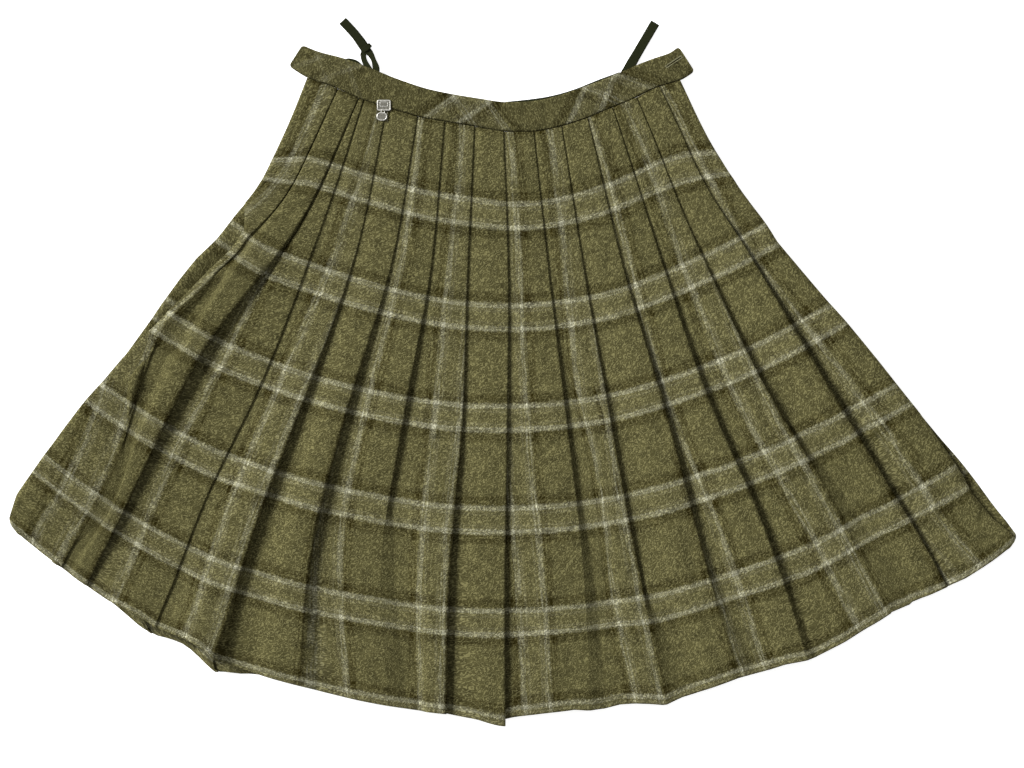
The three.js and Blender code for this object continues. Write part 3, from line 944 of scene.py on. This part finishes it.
RIGHT_LEG = [
    (111, 293, UNDER_BAND, 10),
    (116, 301.5, UNDER_BAND, 10),
    (120.5, 309.5, UNDER_BAND * 0.75, 10),
    (126, 319, RIBBON_LOW, 9.5),
    (142, 346.3, RIBBON_LOW, 9.4),
]
LEFT_STEM = [
    (-147.5, 323.5, RIBBON_LOW, 9),
    (-157, 337, RIBBON_LOW, 9),
    (-168.5, 349.5, RIBBON_LOW, 9),
]
LEFT_LEG_LOWER = [
    (-139, 295, UNDER_BAND, 7),
    (-143.5, 302.5, UNDER_BAND, 6.5),
    (-147.5, 310, UNDER_BAND * 0.6, 5.5),
    (-149, 316.5, RIBBON_LOW, 6),
]
LEFT_LEG_UPPER = [
    (-136.5, 294.5, UNDER_BAND, 7),
    (-136, 303, UNDER_BAND, 7),
    (-138.5, 311, UNDER_BAND * 0.6, 5),
    (-142, 318, RIBBON_LOW, 6.5),
]

loop_right = ribbon_piece("loop_right", loop_stations(RIGHT_LEG, raised(RIGHT_LEG)))
loop_left = ribbon_piece(
    "loop_left",
    loop_stations(LEFT_LEG_LOWER + LEFT_STEM, raised(LEFT_LEG_UPPER + LEFT_STEM)),
)

# %% [markdown]
# ## Tape and the loop's binding
# The tape is sewn inside the back waistband, and a sliver of it shows over the front band at
# the right. Its other end peeps out at the left, beside the loop.

# %% Tape inside the back waistband
TAPE_WIDTH = 9
# how far the tape stands out over the front band, by the band's stations
TAPE_PROUD = {8: 0.6, 9: 2.4, 10: 1.8, 11: 1.2, 12: 1.8, 13: 1}


def tape_station(i):
    up = band_up(i)
    out = BAND[i]["width"] + TAPE_PROUD[i] - TAPE_WIDTH / 2
    return (BAND[i]["x"] + up.x * out, BAND[i]["y"] + up.y * out, TAPE_REST, TAPE_WIDTH,
            math.atan2(-up.x, up.y))


tape = ribbon_piece("inner_tape", [tape_station(i) for i in TAPE_PROUD])

TAPE_END_HEADING = -0.4
# its other end, at the left: x, y, width
TAPE_END = ((-167.5, 311.2, 1.6), (-165, 311.0, 4.4), (-160, 309.3, 6.4), (-155, 307.4, 6.0),
            (-150.5, 305, 3))
tape_end = ribbon_piece("inner_tape_end", [(x, y, TAPE_REST, width, TAPE_END_HEADING)
                                           for x, y, width in TAPE_END])

# %% The turn of ribbon that binds the left loop
WRAP_AT = (-145.4, 323.9)
WRAP_HEADING = math.radians(217)
# over both legs: how far along the heading, height, width
WRAP_SECTION = ((-4.6, 1.1, 3.4), (-4.0, 2.5, 4.4), (-1.5, 3.2, 5.6), (1.5, 3.2, 5.8), (4.3, 2.5, 5),
                (5.0, 1.1, 4))


def wrap_station(out, z, width):
    x = WRAP_AT[0] + out * math.cos(WRAP_HEADING)
    y = WRAP_AT[1] + out * math.sin(WRAP_HEADING)
    return x, y, z, width, WRAP_HEADING


loop_wrap = ribbon_piece("loop_wrap", [wrap_station(*row) for row in WRAP_SECTION])

# %% [markdown]
# ## The charm
# A small pewter bar with a drop below it, plain and generic. Both are bevelled plates, cut
# from a rounded outline, and each carries rims of round wire that follow such an outline too.
# A ring of the same wire joins them.

# %% Charm plates
CHARM_X = -128
CHARM_REST = FRONT_REST + PRESSED_HEIGHT + WALL / 2 + SEAM_GAP
PLATE_BEVEL = 0.35
# middle and size in plan
BAR_AT, BAR_SIZE = (CHARM_X, 265.5), (14, 11)
DROP_AT, DROP_SIZE = (CHARM_X - 2, 254.3), (11, 8.6)


def rounded_outline(centre, size, inset, corner, steps, height=0.0):
    """Places round a rectangle whose corners are arcs, inset from its size."""
    half_w, half_h = size[0] / 2 - inset - corner, size[1] / 2 - inset - corner
    places = []
    for sx, sy, start in ((1, 1, 0), (-1, 1, 90), (-1, -1, 180), (1, -1, 270)):
        for k in range(steps + 1):
            a = math.radians(start + 90 * k / steps)
            places.append((centre[0] + sx * half_w + corner * math.cos(a),
                           centre[1] + sy * half_h + corner * math.sin(a), height))
    return places


def plate(name, centre, size, corner, thick):
    places = rounded_outline(centre, size, PLATE_BEVEL, corner, steps=8)
    drawn = drawn_curve(name, [places], closed=True, dimensions="2D", fill_mode="BOTH",
                        extrude=(thick / 2 - PLATE_BEVEL) * MM, bevel_depth=PLATE_BEVEL * MM,
                        bevel_resolution=3)
    piece = meshed(name, drawn)
    for vertex in piece.data.vertices:
        vertex.co.z += (CHARM_REST + thick / 2) * MM
    return piece


charm_bar = plate("charm_bar", BAR_AT, BAR_SIZE, 1.5, 1.0)
charm_pendant = plate("charm_pendant", DROP_AT, DROP_SIZE, 4.0, 1.2)
print("charm plates", len(charm_bar.data.polygons), len(charm_pendant.data.polygons), "faces")

# %% Raised rims, and the ring between the charm's two plates


def rim(name, centre, height, size, corner, wire):
    """A round wire along a rounded outline, at a height over the charm's underside."""
    places = rounded_outline(centre, size, wire, corner, steps=5, height=CHARM_REST + height)
    return meshed(name, drawn_curve(name, [places], closed=True, dimensions="3D",
                                    bevel_depth=wire * MM, bevel_resolution=3))


charm_rims = [
    rim("charm_rim_outer", BAR_AT, 1.1, BAR_SIZE, 1.2, 0.75),
    rim("charm_rim_inner", (CHARM_X, 266.6), 1.1, (8.4, 5.2), 0.8, 0.4),
    rim("charm_rim_drop", DROP_AT, 1.2, DROP_SIZE, 3.6, 0.7),
    rim("charm_ring", (CHARM_X - 1, 259.3), 1.5, (4.2, 4.6), 1.6, 0.45),
]
print("charm rims", len(charm_rims))

# %% [markdown]
# ## Node helpers
# Geometry Nodes and materials are both trees of nodes. These short helpers place nodes, join
# them, and start a group with named inputs and outputs.

# %% Node helpers


def put(tree, kind, **settings):
    node = tree.nodes.new(kind)
    for name, value in settings.items():
        setattr(node, name, value)
    return node


def feed(tree, node, **inputs):
    """Links or sets inputs by name, an underscore standing for a space."""
    for name, value in inputs.items():
        join(tree, node.inputs[name.replace("_", " ")], value)
    return node


def join(tree, socket, value):
    if isinstance(value, bpy.types.NodeSocket):
        tree.links.new(value, socket)
    else:
        socket.default_value = value


def new_group(name, kind, inputs, outputs):
    group = bpy.data.node_groups.new(name, kind)
    for in_out, sockets in (("INPUT", inputs), ("OUTPUT", outputs)):
        for title, socket_type in sockets.items():
            group.interface.new_socket(title, in_out=in_out, socket_type="NodeSocket" + socket_type)
    return group, put(group, "NodeGroupInput"), put(group, "NodeGroupOutput")


print("node helpers ready")

# %% [markdown]
# ## Sewing
# Stitches are small rounded dashes set along lines that lie on the cloth. One set of Geometry
# Nodes makes them all: it walks along the lines at an even pitch and lays a dash at each step.
# The hem's two rows follow the top of the pleats and stop where a fold's edge drops away.

# %% Stitch maker in Geometry Nodes
STITCH_UNEVEN = (0.8, 1.15)  # the least and most of its size that a stitch takes


def make_stitch_maker():
    group, given, result = new_group(
        "stitch_maker", "GeometryNodeTree",
        {"Lines": "Geometry", "Pitch": "Float", "Size": "Vector", "Finish": "Material"},
        {"Stitches": "Geometry"},
    )
    walk = put(group, "GeometryNodeCurveToPoints", mode="LENGTH")
    feed(group, walk, Curve=given.outputs["Lines"], Length=given.outputs["Pitch"])
    turn = put(group, "FunctionNodeAlignRotationToVector", axis="X")
    feed(group, turn, Vector=walk.outputs["Tangent"])
    uneven = put(group, "FunctionNodeRandomValue", data_type="FLOAT")
    uneven.inputs[2].default_value, uneven.inputs[3].default_value = STITCH_UNEVEN
    feed(group, uneven, Seed=7)
    dash = put(group, "GeometryNodeMeshUVSphere")
    feed(group, dash, Segments=8, Rings=5, Radius=1.0)
    sized = put(group, "ShaderNodeVectorMath", operation="SCALE")
    join(group, sized.inputs[0], given.outputs["Size"])
    feed(group, sized, Scale=uneven.outputs[1])
    lay = put(group, "GeometryNodeInstanceOnPoints")
    feed(group, lay, Points=walk.outputs["Points"], Instance=dash.outputs["Mesh"],
         Rotation=turn.outputs["Rotation"], Scale=sized.outputs[0])
    real = put(group, "GeometryNodeRealizeInstances")
    feed(group, real, Geometry=lay.outputs["Instances"])
    finish = put(group, "GeometryNodeSetMaterial")
    feed(group, finish, Geometry=real.outputs[0], Material=given.outputs["Finish"])
    feed(group, result, Stitches=finish.outputs[0])
    return group


stitch_maker = make_stitch_maker()
print("node group", stitch_maker.name)

# %% A piece of stitches from its lines


def stitched(name, lines, pitch, size, finish):
    """size: half the stitch's length, width and height, in millimetres."""
    drawn = drawn_curve(name, lines, dimensions="3D")
    maker = drawn.modifiers.new("stitches", "NODES")
    maker.node_group = stitch_maker
    sockets = {item.name: item.identifier for item in stitch_maker.interface.items_tree
               if item.in_out == "INPUT"}
    maker[sockets["Pitch"]] = pitch * MM
    maker[sockets["Size"]] = [value * MM for value in size]
    maker[sockets["Finish"]] = finish
    piece = meshed(name, drawn)
    print(name, len(piece.data.polygons), "faces")
    return piece


# %% Lines along the hem
HEM_FROM_EDGE = (4.5, 10.5)  # rows of topstitching above the hem's edge
STEP_DOWN = 1.6  # a line of stitches stops where the cloth drops by more than this in a millimetre
SHORTEST_LINE = 5


def top_of_cloth(from_hem):
    """The visible top of the front, a given way above its hem, as points a millimetre apart."""
    levels = row_levels(FRONT_ROWS)
    v = 1 - from_hem / SEAM_TO_HEM_THREADS
    row = next(i for i in range(len(levels)) if levels[i] >= v)
    share = (v - levels[row - 1]) / (levels[row] - levels[row - 1])
    line = lerp(front_points[row - 1], front_points[row], share)
    tops = []
    for x in np.arange(line[:, 0].min() + 3, line[:, 0].max() - 3, 1.0):
        best = None
        for a, b in zip(line[:-1], line[1:]):
            if (a[0] - x) * (b[0] - x) <= 0 and a[0] != b[0]:
                here = lerp(a, b, (x - a[0]) / (b[0] - a[0]))
                best = here if best is None or here[2] > best[2] else best
        if best is not None:
            tops.append(best + np.array((0, 0, CLOTH_WALL / 2)))
    return tops


def unbroken(points):
    lines, line = [], [points[0]]
    for before, here in zip(points, points[1:]):
        if abs(here[2] - before[2]) > STEP_DOWN:
            lines.append(line)
            line = []
        line.append(here)
    lines.append(line)
    return [line for line in lines if len(line) > SHORTEST_LINE]


print("lines of stitches on the hem:", len(unbroken(top_of_cloth(HEM_FROM_EDGE[0]))))

# %% Lines on the band


def on_band(s, share):
    """A point on the outside of the front band."""
    row, up = band_at(s), band_up(s)
    across = share * row["width"]
    return (row["x"] + up.x * across, row["y"] + up.y * across,
            front_band_height(row["x"]) + from_table(share, BAND_CROWN) * BAND_WALL / 2)


BAND_SEARCH = 20  # places tried between two stations of the band


def band_place(x, y):
    """A point on top of the front band, from its place in the plan."""
    best = min((k / BAND_SEARCH for k in range(BAND_SEARCH * (len(BAND) - 1) + 1)),
               key=lambda s: abs((Vector((x, y)) - Vector(on_band(s, 0)[:2])).cross(band_up(s))))
    row = band_at(best)
    share = (Vector((x, y)) - Vector((row["x"], row["y"]))).length / row["width"]
    return Vector((x, y, on_band(best, clamp(share, 0, 1))[2]))


def along_band(start, end, steps=12):
    """A line over the outside of the front band, between two places in the plan."""
    return [band_place(lerp(start[0], end[0], k / steps), lerp(start[1], end[1], k / steps))
            for k in range(steps + 1)]


def loop_about(start, end, out):
    """A line round a slit, out to each side of it."""
    along = (Vector(end) - Vector(start)).normalized()
    side = Vector((-along.y, along.x)) * out
    start, end = Vector(start), Vector(end)
    there = along_band(start + side, end + side)
    return there + along_band(end - side, start - side) + there[:1]


print("height on the middle of the band:", round(on_band(len(BAND) // 2, 0.5)[2], 1), "mm")

# %% [markdown]
# ## The check
# A woven check is a list of coloured threads, used in both directions. `stripe_colour` measures
# how far a thread is from the middle of its nearest stripe group and looks its colour up. The
# cloth is brushed, so its stripes fray, break into single threads and mix unevenly.

# %% Thread colours and the woven check
# distance from the middle of the stripe group in millimetres, and the thread's linear colour
FIELD = (0.117, 0.107, 0.043)
CENTRE = (0.142, 0.131, 0.058)
THIN = (0.190, 0.178, 0.094)
WARP_LIGHT = (0.275, 0.266, 0.170)
WEFT_LIGHT = (0.345, 0.336, 0.225)
CROSSED = (0.560, 0.550, 0.410)  # where light threads of both directions meet
DARK = (0.031, 0.025, 0.005)
WARP_SETT = ((0, CENTRE), (4.5, CENTRE), (6, THIN), (7.5, THIN), (8.5, CENTRE),
             (10, WARP_LIGHT), (14, WARP_LIGHT), (16.5, DARK), (22.5, DARK), (26, FIELD), (54, FIELD))
WEFT_SETT = ((0, CENTRE), (4.5, CENTRE), (5.5, THIN), (7, THIN), (8.5, CENTRE),
             (10, WEFT_LIGHT), (13.5, WEFT_LIGHT), (15.5, DARK), (22.5, DARK), (26, FIELD), (54, FIELD))
HAIR_PALE = (0.30, 0.285, 0.165)
FRAY = 5.5  # millimetres that a noise of 0 to 1 moves the stripes' edges
print("check repeats every", REPEAT_ACROSS, "by", REPEAT_DOWN, "mm")

# %% Nodes that colours and patterns are made of


def sums(tree, operation, *values):
    node = put(tree, "ShaderNodeMath", operation=operation)
    for socket, value in zip(node.inputs, values):
        join(tree, socket, value)
    return node.outputs[0]


def vectors(tree, operation, *values):
    node = put(tree, "ShaderNodeVectorMath", operation=operation)
    for socket, value in zip(node.inputs, values):
        join(tree, socket, value)
    return node.outputs[0]


def noise(tree, place, scale, detail=2.0, roughness=0.5, distortion=0.0):
    node = put(tree, "ShaderNodeTexNoise")
    return feed(tree, node, Vector=place, Scale=scale, Detail=detail, Roughness=roughness,
                Distortion=distortion)


def ranged(tree, value, low, high, to_low=0.0, to_high=1.0):
    node = put(tree, "ShaderNodeMapRange", interpolation_type="SMOOTHSTEP")
    feed(tree, node, Value=value, From_Min=low, From_Max=high, To_Min=to_low, To_Max=to_high)
    return node.outputs["Result"]


def blend(tree, share, first, second):
    """Mixes two colours, each a socket or a plain colour."""
    node = put(tree, "ShaderNodeMix", data_type="RGBA")
    feed(tree, node, Factor=share)
    named = {socket.identifier: socket for socket in (*node.inputs, *node.outputs)}
    for name, value in (("A_Color", first), ("B_Color", second)):
        join(tree, named[name], value if isinstance(value, bpy.types.NodeSocket) else (*value, 1))
    return named["Result_Color"]


def stripe_colour(tree, thread, sett, repeat, phase):
    """Colour of a thread by its distance from the middle of the nearest stripe group."""
    shifted = sums(tree, "ADD", thread, (repeat / 2 - phase) * MM)
    wrapped = sums(tree, "FLOORED_MODULO", shifted, repeat * MM)
    distance = sums(tree, "ABSOLUTE", sums(tree, "SUBTRACT", wrapped, repeat / 2 * MM))
    ramp = put(tree, "ShaderNodeValToRGB")
    stops = ramp.color_ramp.elements
    while len(stops) < len(sett):
        stops.new(1.0)
    reach = sett[-1][0]
    for stop, (place, colour) in zip(stops, sett):
        stop.position = place / reach
        stop.color = (*colour, 1)
    join(tree, ramp.inputs[0], sums(tree, "DIVIDE", distance, reach * MM))
    return ramp.outputs[0]


def lightness(tree, colour):
    """From 0 for the field's threads to most of 1 for the light stripes' threads."""
    parts = put(tree, "ShaderNodeSeparateColor")
    join(tree, parts.inputs[0], colour)
    return ranged(tree, parts.outputs["Green"], FIELD[1] * 1.15, WEFT_LIGHT[1], 0.0, 0.8)


print("stripes in the warp's list:", len(WARP_SETT))

# %% The woven check, as a shader group


def make_woven_check():
    group, given, result = new_group(
        "woven_check", "ShaderNodeTree", {"Threads": "Vector"}, {"Color": "Color"})
    threads = given.outputs["Threads"]
    fray = noise(group, threads, 430.0, detail=1.5, distortion=1.2)
    moved = vectors(group, "MULTIPLY_ADD", fray.outputs["Color"], (FRAY * MM, FRAY * MM, 0), threads)
    back = vectors(group, "SUBTRACT", moved, (FRAY * MM / 2, FRAY * MM / 2, 0))
    apart = put(group, "ShaderNodeSeparateXYZ")
    join(group, apart.inputs[0], back)
    warp = stripe_colour(group, apart.outputs["X"], WARP_SETT, REPEAT_ACROSS, 0.0)
    weft = stripe_colour(group, apart.outputs["Y"], WEFT_SETT, REPEAT_DOWN, FIRST_BAND_DOWN)
    # single threads along each direction, some of them hidden under the nap
    warp_threads = noise(group, vectors(group, "MULTIPLY", threads, (430, 26, 1)), 1.0)
    weft_threads = noise(group, vectors(group, "MULTIPLY", threads, (30, 430, 1)), 1.0)
    warp_shown = ranged(group, warp_threads.outputs["Fac"], 0.38, 0.62, 0.1, 1.5)
    weft_shown = ranged(group, weft_threads.outputs["Fac"], 0.34, 0.58, 0.4, 1.4)
    warp = blend(group, warp_shown, FIELD, warp)
    weft = blend(group, weft_shown, FIELD, weft)
    mixing = noise(group, threads, 620.0, detail=1.0)
    share = ranged(group, mixing.outputs["Fac"], 0.32, 0.68, 0.25, 0.75)
    woven = blend(group, share, warp, weft)
    both_light = sums(group, "MULTIPLY", lightness(group, warp), lightness(group, weft))
    feed(group, result, Color=blend(group, both_light, woven, CROSSED))
    return group


woven_check = make_woven_check()
print("shader group", woven_check.name)

# %% The brushed nap, as a shader group


def around_half(tree, pattern, strength, shade):
    """Adds a pattern of 0 to 1 to a shade, its middle leaving the shade as it is."""
    off_middle = sums(tree, "SUBTRACT", pattern.outputs["Fac"], 0.5)
    return sums(tree, "MULTIPLY_ADD", off_middle, strength, shade)


def make_wool_nap():
    """Brushed wool: curled hairs that follow the level lines of a noise, over a soft mottle."""
    group, given, result = new_group(
        "wool_nap", "ShaderNodeTree", {"Threads": "Vector"}, {"Shade": "Float", "Hair": "Float"})
    threads = given.outputs["Threads"]
    curls = put(group, "ShaderNodeTexWave", wave_type="BANDS", bands_direction="DIAGONAL")
    feed(group, curls, Vector=threads, Scale=135.0, Distortion=10.0, Detail=1.0, Detail_Scale=2.2)
    hair = ranged(group, curls.outputs["Fac"], 0.45, 0.95)
    broken = noise(group, threads, 260.0, detail=0.0)
    hair = sums(group, "MULTIPLY", hair, ranged(group, broken.outputs["Fac"], 0.25, 0.5, 0.15, 1.0))
    mottle = noise(group, threads, 95.0, detail=3.0, roughness=0.6)
    grain = noise(group, threads, 900.0, detail=1.0)
    shade = sums(group, "MULTIPLY_ADD", hair, 0.85, 0.62)
    shade = around_half(group, mottle, 1.0, shade)
    shade = around_half(group, grain, 0.5, shade)
    feed(group, result, Shade=sums(group, "MAXIMUM", shade, 0.25), Hair=hair)
    return group


wool_nap = make_wool_nap()
print("shader group", wool_nap.name)

# %% [markdown]
# ## Finishes
# The wool is the check, shaded by its nap and raised a little by its hairs. The band's wool is
# pressed harder and turned to the bias, so it is a little darker. Ribbon is dark and ribbed,
# thread is twisted from lighter and darker strands, and pewter is worn unevenly.

# %% Starting a material


def new_material(name, roughness, gloss):
    """gloss: how strongly it reflects, 0.5 for a common plastic."""
    material = bpy.data.materials.new(name)
    material.use_nodes = True
    tree = material.node_tree
    shader = tree.nodes["Principled BSDF"]
    feed(tree, shader, Roughness=roughness, Specular_IOR_Level=gloss)
    return material, tree, shader


def threads_of(tree):
    return put(tree, "ShaderNodeUVMap", uv_map="threads").outputs[0]


def place_on(tree):
    return put(tree, "ShaderNodeTexCoord").outputs["Object"]


def raised_by(tree, height, strength, distance):
    """A normal for a surface that a pattern raises."""
    relief = put(tree, "ShaderNodeBump")
    return feed(tree, relief, Strength=strength, Distance=distance, Height=height).outputs[0]


print("materials so far:", len(bpy.data.materials))

# %% Wool
HAIR_SHOWS = 0.1  # how far a hair's own pale colour shows over the check


def wool_material(name, depth, faint_end=None):
    material, tree, shader = new_material(name, roughness=0.95, gloss=0.0)
    threads = threads_of(tree)
    check = feed(tree, put(tree, "ShaderNodeGroup", node_tree=woven_check), Threads=threads).outputs["Color"]
    if faint_end:
        across = put(tree, "ShaderNodeSeparateXYZ")
        join(tree, across.inputs[0], place_on(tree))
        check = blend(tree, ranged(tree, across.outputs["X"], *faint_end, 0.3, 1.0), FIELD, check)
    nap = feed(tree, put(tree, "ShaderNodeGroup", node_tree=wool_nap), Threads=threads)
    shaded = put(tree, "ShaderNodeVectorMath", operation="SCALE")
    join(tree, shaded.inputs[0], check)
    feed(tree, shaded, Scale=sums(tree, "MULTIPLY", nap.outputs["Shade"], depth))
    hair_share = sums(tree, "MULTIPLY", nap.outputs["Hair"], HAIR_SHOWS * depth)
    feed(tree, shader, Base_Color=blend(tree, hair_share, shaded.outputs[0], HAIR_PALE),
         Normal=raised_by(tree, nap.outputs["Hair"], 0.5, 0.0006))
    return material


checked_wool = wool_material("checked_wool_cloth", 1.0)
bias_wool = wool_material("bias_wool_cloth", 0.8, faint_end=(-0.16, -0.08))
print("wool:", checked_wool.name, bias_wool.name)

# %% Ribbon, thread and pewter


def ribbon_material():
    material, tree, shader = new_material("dark_ribbon", roughness=0.9, gloss=0.0)
    threads = threads_of(tree)
    ribs = put(tree, "ShaderNodeTexWave", bands_direction="Y")
    feed(tree, ribs, Vector=threads, Scale=320.0, Distortion=0.4)
    fleck = sums(tree, "MULTIPLY_ADD", noise(tree, threads, 500.0).outputs["Fac"], 0.7, 0.1)
    feed(tree, shader, Base_Color=blend(tree, fleck, (0.012, 0.014, 0.006), (0.030, 0.034, 0.016)),
         Normal=raised_by(tree, ribs.outputs["Fac"], 0.4, 0.0003))
    return material


def thread_material(name, colour):
    material, tree, shader = new_material(name, roughness=0.85, gloss=0.1)
    ply = noise(tree, place_on(tree), 1500.0).outputs["Fac"]
    darker = tuple(value * 0.6 for value in colour)
    lighter = tuple(value * 1.35 for value in colour)
    feed(tree, shader, Base_Color=blend(tree, ply, darker, lighter))
    return material


def pewter_material(name, worn, bright):
    material, tree, shader = new_material(name, roughness=0.35, gloss=0.5)
    wear = noise(tree, place_on(tree), 900.0).outputs["Fac"]
    feed(tree, shader, Base_Color=blend(tree, wear, worn, bright), Metallic=0.55)
    return material


dark_ribbon = ribbon_material()
worn_pewter = pewter_material("worn_pewter", (0.32, 0.31, 0.27), (0.95, 0.93, 0.85))
dull_pewter = pewter_material("dull_pewter", (0.05, 0.047, 0.035), (0.24, 0.23, 0.19))
print("materials so far:", len(bpy.data.materials))

# %% [markdown]
# ## Sewing on the skirt
# Two rows hold the hem. Dark stitches sink into the seam under the
# waistband. The buttonhole at the band's end is a slit with thickly sewn lips, its opening a row of
# near-black dashes that are painted shade, and short rows close the band's ends.

# %% Rows of stitches
hem_thread = thread_material("hem_thread", (0.062, 0.054, 0.020))
seam_thread = thread_material("seam_thread", (0.020, 0.018, 0.007))
pale_thread = thread_material("pale_thread", (0.24, 0.23, 0.13))
# near-black, made like a thread: painted shade for the dark inside the buttonhole's opening
slit_painted_shade = thread_material("slit_painted_shade", (0.006, 0.006, 0.003))

hem_lines = [line for from_edge in HEM_FROM_EDGE for line in unbroken(top_of_cloth(from_edge))]
hem_stitches = stitched("hem_stitches", hem_lines, 3.4, (1.15, 0.28, 0.2), hem_thread)

SEAM_STEPS = 200
band_ends = (0.25, len(BAND) - 1.25)
seam_line = [on_band(lerp(*band_ends, k / SEAM_STEPS), 0.03) for k in range(SEAM_STEPS + 1)]
seam_stitches = stitched("waist_seam_stitches", [seam_line], 3.0, (1.1, 0.3, 0.22), seam_thread)

HOLE = ((154.0, 303.8), (169.8, 314.6))  # the buttonhole's two ends, in plan
hole_lips = stitched("buttonhole_lips", [loop_about(*HOLE, 1.1)], 0.62, (0.3, 0.75, 0.3), pale_thread)
# the slit's dashes are painted shade, the dark of the opening between the lips
hole_slit = stitched("buttonhole_slit", [along_band(*HOLE)], 0.8, (0.9, 0.42, 0.16), slit_painted_shade)
END_ROWS = (((143, 296), (149.5, 289.5)), ((-196, 313), (-201.5, 304.5)))
end_lines = [along_band(*ends) for ends in END_ROWS]
end_stitches = stitched("band_end_stitches", end_lines, 1.6, (0.8, 0.24, 0.2), seam_thread)

FINISHES = {
    checked_wool: (front, back),
    bias_wool: (band_front, band_back),
    dark_ribbon: (loop_left, loop_right, loop_wrap, tape, tape_end),
    worn_pewter: tuple(charm_rims),
    dull_pewter: (charm_bar, charm_pendant),
}
for material, pieces in FINISHES.items():
    for piece in pieces:
        piece.data.materials.clear()
        piece.data.materials.append(material)
print("finishes", [material.name for material in FINISHES])

# %% [markdown]
# ## Surface and light
# A plain pale surface, one large soft light low at the left so that each fold shades the
# pleat to its right, a faint lamp overhead and an even sky to fill the shadows.

# %% Floor
FLOOR_REACH = 4.0  # from the middle to each side, in metres
FLOOR_LEVEL = -0.0003
floor_mesh = bpy.data.meshes.new("floor")
floor_corners = [(FLOOR_REACH * sx, FLOOR_REACH * sy, 0) for sx, sy in ((-1, -1), (1, -1), (1, 1), (-1, 1))]
floor_mesh.from_pydata(floor_corners, [], [(0, 1, 2, 3)])
floor = placed("floor", floor_mesh)
floor.location.z = FLOOR_LEVEL
floor_finish, floor_tree, floor_shader = new_material("pale_floor", roughness=0.9, gloss=0.5)
feed(floor_tree, floor_shader, Base_Color=(0.85, 0.85, 0.85, 1), Emission_Color=(1, 1, 1, 1),
     Emission_Strength=0.8)
floor_mesh.materials.append(floor_finish)
print("floor", 2 * FLOOR_REACH, "m wide")

# %% Lights


def lamp(name, kind, place, aim, **settings):
    light = bpy.data.lights.new(name, kind)
    for setting, value in settings.items():
        setattr(light, setting, value)
    piece = placed(name, light)
    piece.location = place
    piece.rotation_euler = (Vector(aim) - Vector(place)).to_track_quat("-Z", "Y").to_euler()


# a far, broad window, so that the light is even over the cloth
lamp("key_light", "SUN", (-4.6, 2.4, 4.0), (0, 0, 0), energy=4.45, angle=math.radians(22))
# a faint wide lamp overhead lifts the upper middle of the skirt
lamp("overhead_light", "SPOT", (0.04, 0.2, 4.6), (0.04, 0.17, 0), energy=120,
     spot_size=math.radians(12.5), spot_blend=1.0, shadow_soft_size=0.5)
world = bpy.data.worlds.new("studio")
world.use_nodes = True
feed(world.node_tree, world.node_tree.nodes["Background"], Color=(1, 1, 1, 1), Strength=0.28)
bpy.context.scene.world = world
bpy.context.scene.view_settings.view_transform = "Standard"
print("lights", len(bpy.data.lights))

# %% [markdown]
# ## The pieces on the body
# Every piece rides on the part's one body, and each piece that stands for a solid hides that
# solid. The tables also list the slot of each piece.

# %% Rides and hidden solids
STANDS_FOR = (
    (front, "checked_wool", "front_panel"),
    (back, "checked_wool", "back_panel"),
    (band_front, "bias_wool", "waistband_front"),
    (band_back, "bias_wool", "waistband_back"),
    (tape, "ribbon", "waist_tape"),
    (loop_left, "ribbon", "hanger_loop_left"),
    (loop_right, "ribbon", "hanger_loop_right"),
    (charm_bar, "pewter", "charm_plate"),
    (charm_pendant, "pewter", "charm_drop"),
)
for piece, slot, node in STANDS_FOR:
    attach(piece, "root")
    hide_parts(node)

ADDED = {
    "checked_wool": (hem_stitches,),
    "bias_wool": (seam_stitches, hole_lips, hole_slit, end_stitches),
    "ribbon": (loop_wrap, tape_end),
    "pewter": tuple(charm_rims),
}
for slot, pieces in ADDED.items():
    for piece in pieces:
        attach(piece, "root")
print("pieces on the body:", len(STANDS_FOR) + sum(len(pieces) for pieces in ADDED.values()))
